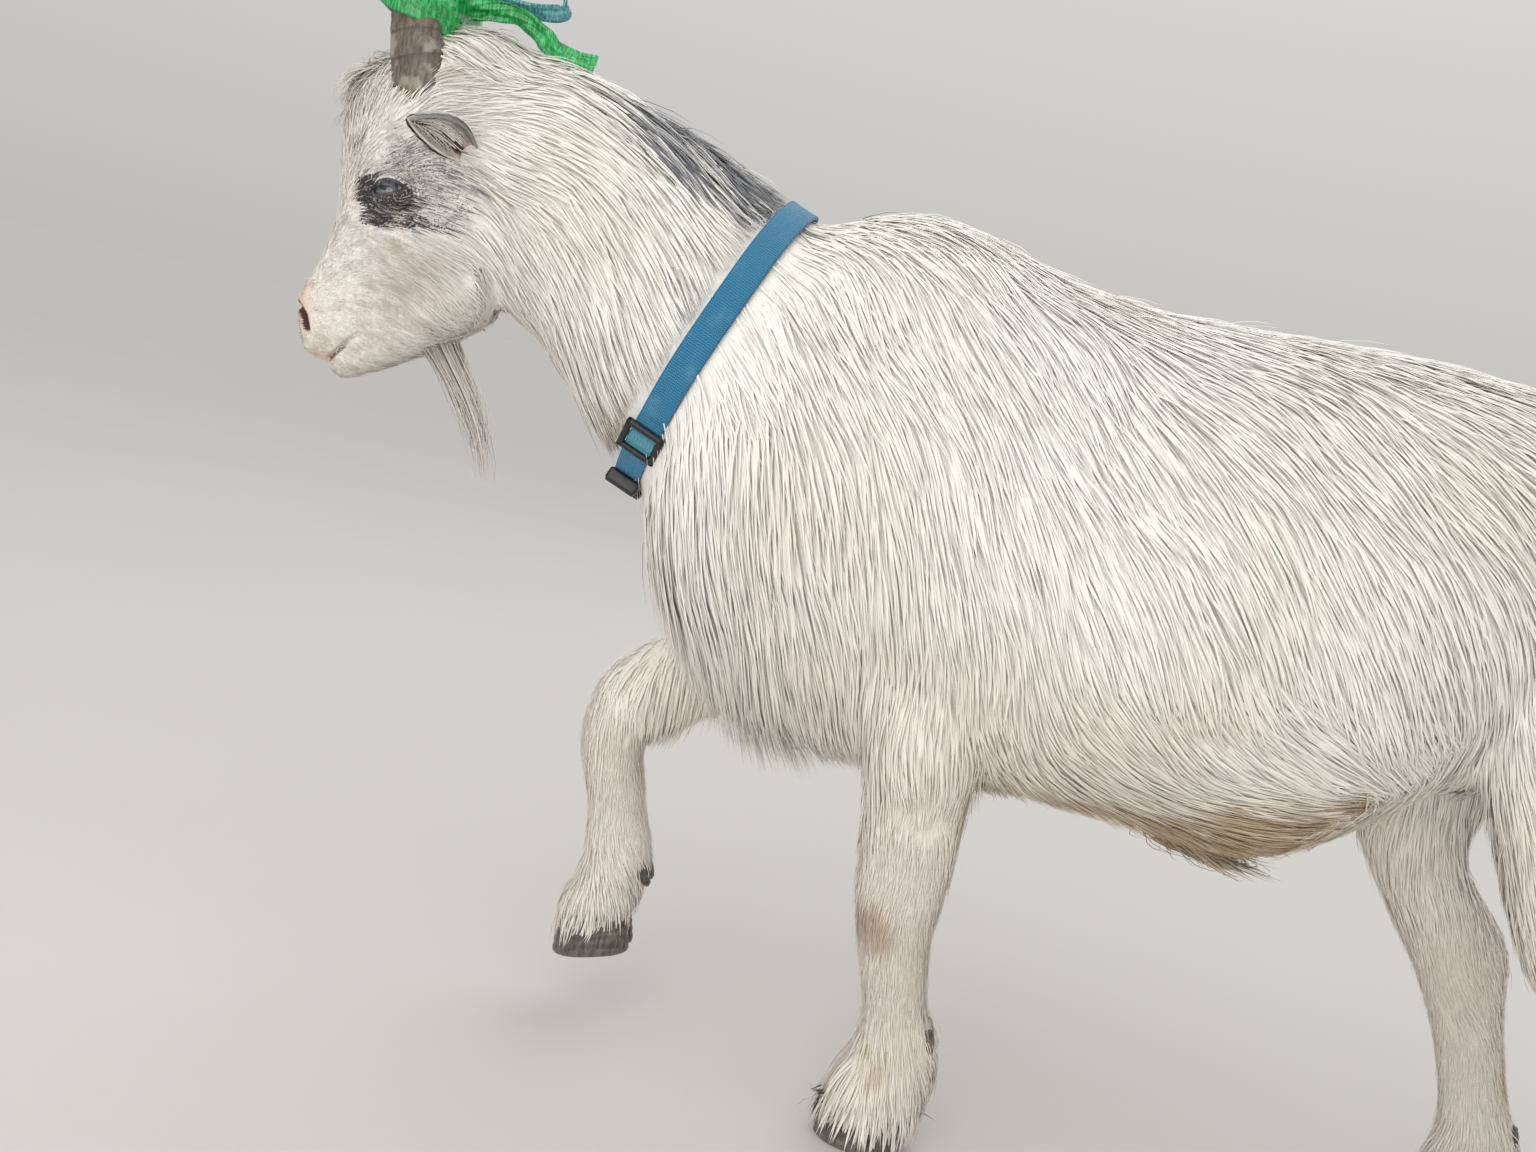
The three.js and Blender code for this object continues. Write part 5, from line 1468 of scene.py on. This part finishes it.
# Low on the head, up to this y in millimetres and under this height in metres, hair whose tip is
# further off the skin than so many millimetres is left out.
ASTRAY, ASTRAY_TO, ASTRAY_UNDER = 9, -382, 0.56
# Places without hair, each in both mirror images, as a place and the radii of an ellipsoid.
BARE = {
    "horn": ((34, -465, 648), (12, 15, 17)),
    "nose": ((0, -538, 480), (19, 14, 11)),
    "mouth": ((0, -512, 451), (16, 13, 4)),
}


def guide_fields(points):
    """The way, length, standing and hanging of the coat at points of the skin."""
    weights, values = [], []
    for only_side, place, way, length, stand, hang in COAT_GUIDES:
        for side in ((1, -1) if only_side == 0 else (1,)):
            far = np.linalg.norm(points - located(place, side), axis=1)
            weights.append(1 / (far + 6 * MM) ** 5)
            way_here = np.array(Vector(mirrored(way, side)).normalized())
            values.append([*way_here, length * MM, stand * MM, hang])
    weights = np.array(weights)
    weights /= weights.sum(0)
    fields = weights.T @ np.array(values)
    return fields[:, :3], fields[:, 3], fields[:, 4], fields[:, 5]


def triangles(piece):
    piece.data.calc_loop_triangles()
    flat = np.empty(len(piece.data.loop_triangles) * 3, int)
    piece.data.loop_triangles.foreach_get("vertices", flat)
    return flat.reshape(-1, 3)


def unwrap_finder():
    """Finds a place's spot on the skin's unwrap, where each form is slit and laid out flat."""
    spots, places = [], []
    for form, first, last, (left, right, low, high) in FORMS.values():
        for along in np.linspace(0, len(form) - 1, 6 * len(form)):
            share = along / (len(form) - 1)
            turns = np.arange(48) / 48
            places.extend(surface(form, along, turns, first + (last - first) * share))
            spots.extend((left + (right - left) * turn, low + (high - low) * share)
                         for turn in turns)
    tree = finder(places, range(len(places)))
    return lambda points: np.array([spots[tree.find(point)[1]] for point in points])


def bare(points):
    """Where no hair grows: the eyes' openings, the nose, nostrils and mouth, the soles, horns and
    collar.
    """
    hide = np.zeros(len(points), bool)
    for side in SIDES.values():
        middle, along, up, gaze = eye_axes(side)
        offset = (points - middle) / MM
        u, v, out = offset @ along, offset @ up, offset @ gaze
        hide |= (out > 0) & ((u / (EYE_OPEN[0] + 2.5)) ** 2 + (v / (EYE_OPEN[1] + 2.5)) ** 2 < 1)
        for place, radii in BARE.values():
            off = (points - located(place, side)) / MM
            hide |= np.linalg.norm(off / radii, axis=1) < 1
    behind, held = from_collar(points), held_back(points)
    hide |= (behind > -held) & (behind < np.where(held > 12.5, 14, 4))
    nostril = near_route(points, NOSTRIL_SHADE, 5.5) > 0.4
    hide |= nostril & (np.abs(points[:, 0] - SHIFT.x) > 7 * MM)
    for form in LEGS.values():
        middle, down = foot_frame(form)[:2]
        below = (points - middle) @ down / MM
        hide |= (below > -1.5) & (np.linalg.norm(points - middle, axis=1) < 60 * MM)
    return hide


def grown(skin):
    """Roots spread over the skin: their places, outward directions and coat."""
    points, normals, faces = corners(skin), outward(skin), triangles(skin)
    way, length, stand, hang = guide_fields(points)
    a, b, c = (points[faces[:, k]] for k in range(3))
    area = np.linalg.norm(np.cross(b - a, c - a), axis=1) / 2
    long = length[faces].mean(1)
    wide = hair_width(long)
    cover = np.interp(long / MM, (5, 14, LONG_FROM, 40), (1.3, 1.8, 2.2, COVER_LONG))
    feet = np.min([np.linalg.norm(points - foot_frame(form)[0], axis=1)
                   for form in LEGS.values()], axis=0) / MM
    denser = np.interp(feet, (34, 60), (2.2, 1.0))[faces[:, 0]]
    wanted = area * cover / (0.6 * long * wide) * denser
    count = int(wanted.sum())
    chosen = np.searchsorted(np.cumsum(wanted), LIFE.random(count) * wanted.sum())
    chosen = np.minimum(chosen, len(faces) - 1)
    r, s = LIFE.random((2, count))
    flip = r + s > 1
    r, s = np.where(flip, 1 - r, r), np.where(flip, 1 - s, s)
    share = np.stack([1 - r - s, r, s], 1)
    mixed = [np.einsum("nk,nk...->n...", share, field[faces[chosen]])
             for field in (points, normals, way, length, stand, hang)]
    keep = ~bare(mixed[0])
    return [field[keep] for field in mixed]


def from_collar(points):
    """How far points lie behind the collar's middle, in millimetres."""
    return (points - COLLAR_POINT) @ COLLAR_ACROSS / MM


def held_back(points):
    """How far from the collar's middle hair keeps: further off by the slider and the buckle."""
    near = np.min([np.linalg.norm(points - strap_place(turn, 0), axis=1)
                   for turn in (SLIDER_TURN, BUCKLE_TURN, -BUCKLE_TURN)], axis=0) / MM
    return np.interp(near, (22, 34), (18.0, 12.0))


def pressed(roots):
    """How far the coat stands near the collar, which holds it down."""
    return np.interp(np.abs(from_collar(roots)), (4, 12, 34), (0.3, 0.5, 1.0))


def tucked(lines):
    """Ends the hair ahead of the collar on the strap's edge and keeps that behind it there."""
    behind = from_collar(lines)
    lowest = np.minimum(behind[0], 11)
    back = np.where(behind[0] > 0, np.maximum(lowest - behind, 0), 0)
    lines = lines + COLLAR_ACROSS * (back * MM)[..., None]
    edge = LIFE.uniform(-3.5, 0.5, lines.shape[1]) - held_back(lines[-1])
    crossing = (behind[0] < edge) & (behind[-1] > edge)
    span = np.maximum(behind[-1] - behind[0], 1e-3)
    keep = np.where(crossing, np.clip((edge - behind[0]) / span, 0.12, 1), 1.0)
    steps = len(lines) - 1
    where = np.linspace(0, steps, steps + 1)[:, None] * keep
    low = np.clip(np.floor(where).astype(int), 0, steps - 1)
    share = (where - low)[..., None]
    hairs = np.arange(lines.shape[1])
    return lines[low, hairs] * (1 - share) + lines[low + 1, hairs] * share


def hair_width(length):
    """Half as wide again for fine short fur as its length would have it."""
    return np.clip(length * 0.044, 0.72 * MM, 1.8 * MM)


def drift(roots):
    """How the lie of the hair wanders off its way at roots."""
    return sum(np.array([noise.noise_vector(Vector(p) * waves) for p in roots]) * much
               for waves, much in DRIFTS)


def on_skin(tree, points):
    """The skin's places nearest to points, and its outward directions there."""
    found = [tree.find_nearest(p) for p in points]
    return np.array([f[0] for f in found]), np.array([f[1] for f in found])


def laid(tree, roots, normals, way, length, stand, hang, steps):
    """The middle lines of tufts that follow the skin, and the skin's outward directions."""
    way = way + drift(roots) + LIFE.normal(0, 0.07, way.shape)
    along = unit(way - normals * np.sum(way * normals, 1)[:, None])
    lines, outs = [roots - normals * (1.2 * MM)], [normals]
    here, direction = roots, along
    for step in range(1, steps):
        share = step / (steps - 1)
        ahead = here + direction * (length / (steps - 1))[:, None]
        flat, out = on_skin(tree, ahead)
        past = (np.linalg.norm(ahead - flat, axis=1) > 0.45 * length / (steps - 1))[:, None]
        flat, out = np.where(past, ahead, flat), np.where(past, outs[-1], out)
        rise = 1 - (1 - share) ** 2
        lines.append(flat + out * (stand * rise)[:, None])
        outs.append(out)
        here = flat
        direction = unit(way - out * np.sum(way * out, 1)[:, None])
    lines, outs = np.array(lines), np.array(outs)
    shares = np.linspace(0, 1, steps)[:, None, None]
    drop = lines[0] + (along * 0.45 + np.array([0, 0, -0.9])) * (length[:, None] * shares)
    drop += outs[:1] * (stand[:, None] * shares)
    lean = hang[:, None] * shares
    return lines * (1 - lean) + drop * lean, outs


def finder(places, numbers):
    """A search tree that finds the nearest of places by its number."""
    tree = kdtree.KDTree(len(places))
    for place, number in zip(places, numbers):
        tree.insert(place, int(number))
    tree.balance()
    return tree


def gathered(lines, share, size, strength):
    """Draws the tips of neighbouring tufts together into locks, each round one of a share."""
    count = lines.shape[1]
    leaders = LIFE.permutation(count)[:max(1, int(count * share))]
    taken = finder(lines[0, leaders], leaders)
    leader = np.array([taken.find(p)[1] for p in lines[0]])
    near = np.linalg.norm(lines[0] - lines[0, leader], axis=1) < 2 * size
    shares = np.linspace(0, 1, len(lines))[:, None] ** 1.3
    pull = shares * (strength * near * LIFE.uniform(0.5, 1.0, count))[None]
    return lines + (lines[:, leader] - lines) * pull[..., None]


def tufts(name, lines, outs, wide, thick, unwrapped, shade, material, lit=None):
    """One mesh of tapered tufts, three-sided and closed, that run along the given lines."""
    steps, count = lines.shape[:2]
    tangent = unit(np.gradient(lines, axis=0))
    side = unit(np.cross(tangent, outs))
    up = unit(np.cross(side, tangent))
    shares = np.linspace(0, 1, steps)
    breadth = wide[None] * (1 - 0.75 * shares[:, None] ** 1.6) / 2
    depth = thick[None] * (1 - 0.6 * shares[:, None]) / 2
    rings = steps - 1
    per = rings * 3 + 1
    corner = np.empty((count, per, 3))
    for k in range(rings):
        across, high = side[k] * breadth[k][:, None], up[k] * depth[k][:, None]
        corner[:, 3 * k] = lines[k] - across - high * 0.6
        corner[:, 3 * k + 1] = lines[k] + across - high * 0.6
        corner[:, 3 * k + 2] = lines[k] + high
    corner[:, -1] = lines[-1]
    faces = [(0, 1, 2)]
    for k in range(rings - 1):
        for a, b in ((0, 2), (2, 1), (1, 0)):
            low_a, low_b, high_a, high_b = 3 * k + a, 3 * k + b, 3 * k + 3 + a, 3 * k + 3 + b
            faces += [(low_a, low_b, high_a), (low_b, high_b, high_a)]
    last, tip = 3 * (rings - 1), 3 * rings
    faces += [(last, last + 2, tip), (last + 2, last + 1, tip), (last + 1, last, tip)]
    every = (np.array(faces)[None] + (np.arange(count) * per)[:, None, None]).reshape(-1, 3)
    mesh = bpy.data.meshes.new(name)
    mesh.from_pydata(corner.reshape(-1, 3), [], every)
    spread = np.concatenate([np.tile([-1, 1, 0], rings), [0]])
    ahead = np.concatenate([np.repeat(shares[:rings], 3), [1]])
    patch = np.stack([spread * 0.0015, (ahead - 0.5) * 0.003], 1)
    spots = (unwrapped[:, None] + patch[None]).reshape(-1, 2)
    mesh.uv_layers.new(name="OFBake").data.foreach_set("uv", spots[every.ravel()].ravel())
    for key, values in (("ahead", np.tile(ahead, count)), ("shade", np.repeat(shade, per))):
        mesh.attributes.new(key, "FLOAT", "POINT").data.foreach_set("value", values)
    rooted = np.repeat(lines[0], per, axis=0).ravel()
    own = np.empty(count * per * 3)
    mesh.vertex_normals.foreach_get("vector", own)
    lit = outs if lit is None else lit
    form = np.concatenate([np.repeat(lit[:rings].transpose(1, 0, 2), 3, axis=1),
                           lit[-1:].transpose(1, 0, 2)], axis=1).reshape(-1, 3)
    soft = unit(own.reshape(-1, 3) * (1 - SOFTNESS) + form * SOFTNESS)
    mesh.polygons.foreach_set("use_smooth", [True] * len(mesh.polygons))
    mesh.normals_split_custom_set_from_vertices(soft.tolist())
    mesh.attributes.new("root", "FLOAT_VECTOR", "POINT").data.foreach_set("vector", rooted)
    piece = bpy.data.objects.new(name, mesh)
    bpy.context.scene.collection.objects.link(piece)
    return added(finished(piece, name, material, smooth=False))


EAR_TILES = {"left": (0.02, 0.53), "right": (0.27, 0.53)}


def make_ear_coat(side_name, material):
    """Short hair over the back of an ear, longer at its root, and wisps inside its rim."""
    side, (left, low) = SIDES[side_name], EAR_TILES[side_name]
    base, tip, upright, facing = ear_frame(side)
    count = 2000
    t, s = LIFE.random(count) ** 0.9 * 0.96, LIFE.uniform(-1, 1, count)
    rim = LIFE.random(count) < 0.24
    s = np.where(rim, np.sign(s) * LIFE.uniform(0.9, 1.0, count), s)
    swing = s * EAR_CURL * (1 - 0.4 * t)
    back = upright * np.sin(swing)[:, None] - facing * np.cos(swing)[:, None]
    size = np.where(rim, LIFE.uniform(6, 12, count), LIFE.uniform(8, 14, count)) * MM
    size *= np.interp(t, (0, 0.3, 1), (2.2, 1.1, 0.6))
    inner = ~rim & (LIFE.random(count) < 0.06)
    t, s = np.where(inner, t * 0.55, t), np.where(inner, s * 0.9, s)
    size = np.where(inner, LIFE.uniform(14, 26, count) * MM, size)
    reach = size / np.linalg.norm(tip - base)
    long = LIFE.random(count) < 0.1
    across = np.where(long, LIFE.uniform(7, 13, count), LIFE.uniform(1, 3.5, count))
    across *= np.interp(t, (0.3, 0.8), (1, 0.5))
    lines, outs = [], []
    for share in np.linspace(0, 1, 4):
        here = ear_places(side, np.minimum(t + reach * share, 1.04), s)
        lift = np.where(rim, 0.2 * share, EAR_THICK * 0.3 + 0.2 + 2.2 * share)
        lift = np.where(inner, -EAR_THICK * 0.5 - 5 * share * np.abs(s), lift)
        inward = np.where(rim, -np.sign(s) * share * across, 0)
        lines.append(here + back * (lift * MM)[:, None] + upright * (inward * MM)[:, None])
        outs.append(np.where((rim | inner)[:, None], -back, back))
    spots = np.stack([left + 0.2 * t, low + 0.06 * (s + 1) / 2], 1)
    wide = LIFE.uniform(0.5, 0.95, count) * MM
    shade = np.where(rim | inner, LIFE.uniform(0.6, 1, count), LIFE.random(count))
    return tufts(f"ear_coat_{side_name}", np.array(lines), np.array(outs), wide, wide * 0.5,
                 spots, shade, material)


def make_lashes(name, side, material):
    """Dark lashes along the upper lid, which shade the eye."""
    middle, along, up, gaze = eye_axes(side)
    count = 90
    u = LIFE.uniform(-0.92, 0.92, count) * EYE_OPEN[0]
    v = lid_edge(u)[0] + LIFE.uniform(0, 1.4, count)
    depth = np.sqrt((EYE_RADIUS + 0.9) ** 2 - u * u - v * v)
    size = LIFE.uniform(4, 8, count)
    lines = []
    for share in np.linspace(0, 1, 4):
        lines.append(middle + (along * (u * (1 + 0.25 * share))[:, None]
                               + up * (v - size * 0.75 * share ** 1.4)[:, None]
                               + gaze * (depth + size * 0.6 * share)[:, None]) * MM)
    outs = np.repeat(np.tile(gaze, (count, 1))[None], 4, axis=0)
    left, low = EAR_TILES["left" if side > 0 else "right"]
    spots = np.stack([left + 0.1 + 0.09 * u / EYE_OPEN[0], np.full(count, low + 0.08)], 1)
    return tufts(name, np.array(lines), outs, np.full(count, 0.55 * MM), np.full(count, 0.4 * MM),
                 spots, np.zeros(count), material)


# Where one coat piece ends and the next begins, as the far edge of each along the goat.
COAT_PARTS = [("face", -402), ("neck", -215), ("shoulder", -60), ("ribs", 75), ("loin", 210),
              ("hips", 330), ("rump", 900)]


# Tufts with a way of their own: the route of the middle hair, how far round it the others are
# rooted, how much they close in towards the tip, how many there are and how wide each is.
WISPS = {
    "forelock": ([(0, -480, 673), (0, -500, 659), (0, -516, 641), (0, -524, 618)],
                 (27, 8, 7), 0.0, 700, 1.5),
    "beard": ([(0, -430, 484), (0, -416, 466), (0, -402, 448), (0, -391, 430), (0, -383, 410),
               (0, -377, 388)], (12, 17, 4), 0.6, 420, 0.7),
    "belly_tuft": ([(0, 140, 282), (0, 160, 270), (0, 180, 262), (0, 198, 259)],
                   (26, 42, 8), 0.2, 420, 1.3),
}


def make_wisps(tree, unwrap, material):
    for name, (route, spread, closing, count, wide) in WISPS.items():
        spread_from = unit(LIFE.normal(0, 1, (count, 3))) * LIFE.random((count, 1)) ** 0.4
        reach = LIFE.uniform(0.35, 1.0, count)
        shares = np.linspace(0, 1, 7)[:, None]
        first = LIFE.uniform(0, 0.35, count) if name == "forelock" else 0
        lines = along_route(route, first + shares * (reach - first))
        aside = spread_from[None] * np.array(spread) * MM
        wave = np.sin(shares * 5 + LIFE.uniform(0, 6, count))[..., None] * shares[..., None]
        lines = lines + aside * (1 - closing * shares[..., None]) + aside * wave * 0.5
        found = [tree.find_nearest(p) for p in lines[0]]
        rooted = np.array([f[0] - f[1] * (1.5 * MM) for f in found])
        lines += (rooted - lines[0]) * (1 - shares[..., None]) ** 1.5
        outs = np.repeat(unit(spread_from + (0, 0, 0.35))[None], 7, axis=0)
        lit = np.repeat(unit(spread_from * 0.8 + (0, -0.2, 1))[None], 7, axis=0)
        tufts(name, lines, outs, np.full(count, wide * MM) * LIFE.uniform(0.6, 1.2, count),
              np.full(count, wide * MM * 0.5), unwrap(lines[0]), LIFE.uniform(0.7, 1, count),
              material, lit)


def make_coat(skin, material):
    roots, normals, way, length, stand, hang = grown(skin)
    unwrap = unwrap_finder()
    spot = unwrap(roots)
    tree = BVHTree.FromPolygons([Vector(p) for p in corners(skin)],
                                [p.vertices[:] for p in skin.data.polygons])
    make_wisps(tree, unwrap, material)
    for kind, chosen, steps in (
            ("long", length > LONG_FROM * MM, 4), ("short", length <= LONG_FROM * MM, 3)):
        here = [field[chosen] for field in (roots, normals, way, length, stand, hang)]
        size = here[3] * LIFE.uniform(0.75, 1.15, len(here[3]))
        rise = here[4] * LIFE.uniform(0.12, 0.62, len(size))
        rise *= np.where(LIFE.random(len(size)) > 0.94, 2.0, 1.0) * pressed(here[0])
        lines, outs = laid(tree, here[0], here[1], here[2], size, rise, here[5], steps)
        off = np.array([tree.find_nearest(p)[3] for p in lines[-1]]) / MM
        y = (here[0][:, 1] - SHIFT.y) / MM
        kept = (off < ASTRAY) | (y > ASTRAY_TO) | (here[0][:, 2] > ASTRAY_UNDER)
        lines, outs, size = lines[:, kept], outs[:, kept], size[kept]
        here = [field[kept] for field in here]
        spots = spot[chosen][kept]
        if kind == "long":
            lines = gathered(lines, 0.09, LOCK_SIZE, 0.24)
            lines = gathered(lines, 0.012, 2.6 * LOCK_SIZE, 0.16)
        lines = tucked(lines)
        lines[..., 2] = np.maximum(lines[..., 2], OFF_FLOOR)
        wide = hair_width(size) * LIFE.uniform(0.7, 1.25, len(size))
        shade = LIFE.random(len(size))
        x, y = here[0][:, 0], y[kept]
        start = -1e9
        for part, end in COAT_PARTS:
            inside = (y >= start) & (y < end)
            start = end
            for side_name, side in SIDES.items():
                picked = np.flatnonzero(inside & ((x >= 0) == (side > 0)))
                if len(picked):
                    tufts(f"{kind}_coat_{part}_{side_name}", lines[:, picked], outs[:, picked],
                          wide[picked], wide[picked] * 0.3, spots[picked], shade[picked],
                          material)


# ---------------------------------------------------------------- making it all
add_camera()
add_studio()
hair, lid, horn, claw = hair_finish(), lid_finish(), horn_finish(), claw_finish()
webbing, plastic = webbing_finish(), plastic_finish()
# The second colour of each ribbon is its painted highlight.
green = ribbon_finish("green_ribbon", (0.004, 0.2, 0.035), (0.04, 0.62, 0.16))
teal = ribbon_finish("teal_ribbon", (0.03, 0.2, 0.24), (0.2, 0.55, 0.6))
eye, ear_back_and_inside = eye_finish(), ear_finishes()

skin = make_skin(skin_finish())
make_coat(skin, hair)
for name, side in SIDES.items():
    make_eye(f"eye_{name}", side, eye)
    make_lid_rims(f"lid_rims_{name}", side, lid)
    make_lashes(f"lashes_{name}", side, hair)
    make_ear(f"ear_{name}", side, *ear_back_and_inside)
    make_ear_coat(name, hair)
    make_horn(f"horn_{name}", side, horn)
for leg, form in LEGS.items():
    side = 1 if leg.endswith("left") else -1
    for where, out in (("outer", side), ("inner", -side)):
        make_claw(f"hoof_{leg}_{where}", form, out, claw)
        make_dewclaw(f"dewclaw_{leg}_{where}", form, out, claw)
make_strap(webbing)
make_doubled_strap(webbing)
make_slider(plastic)
make_buckle(plastic)
make_ribbon_band(green)
make_ribbon_tail(green)
for node in RIBBON_LOOPS:
    make_ribbon_loop(node, teal if "teal" in node else green)
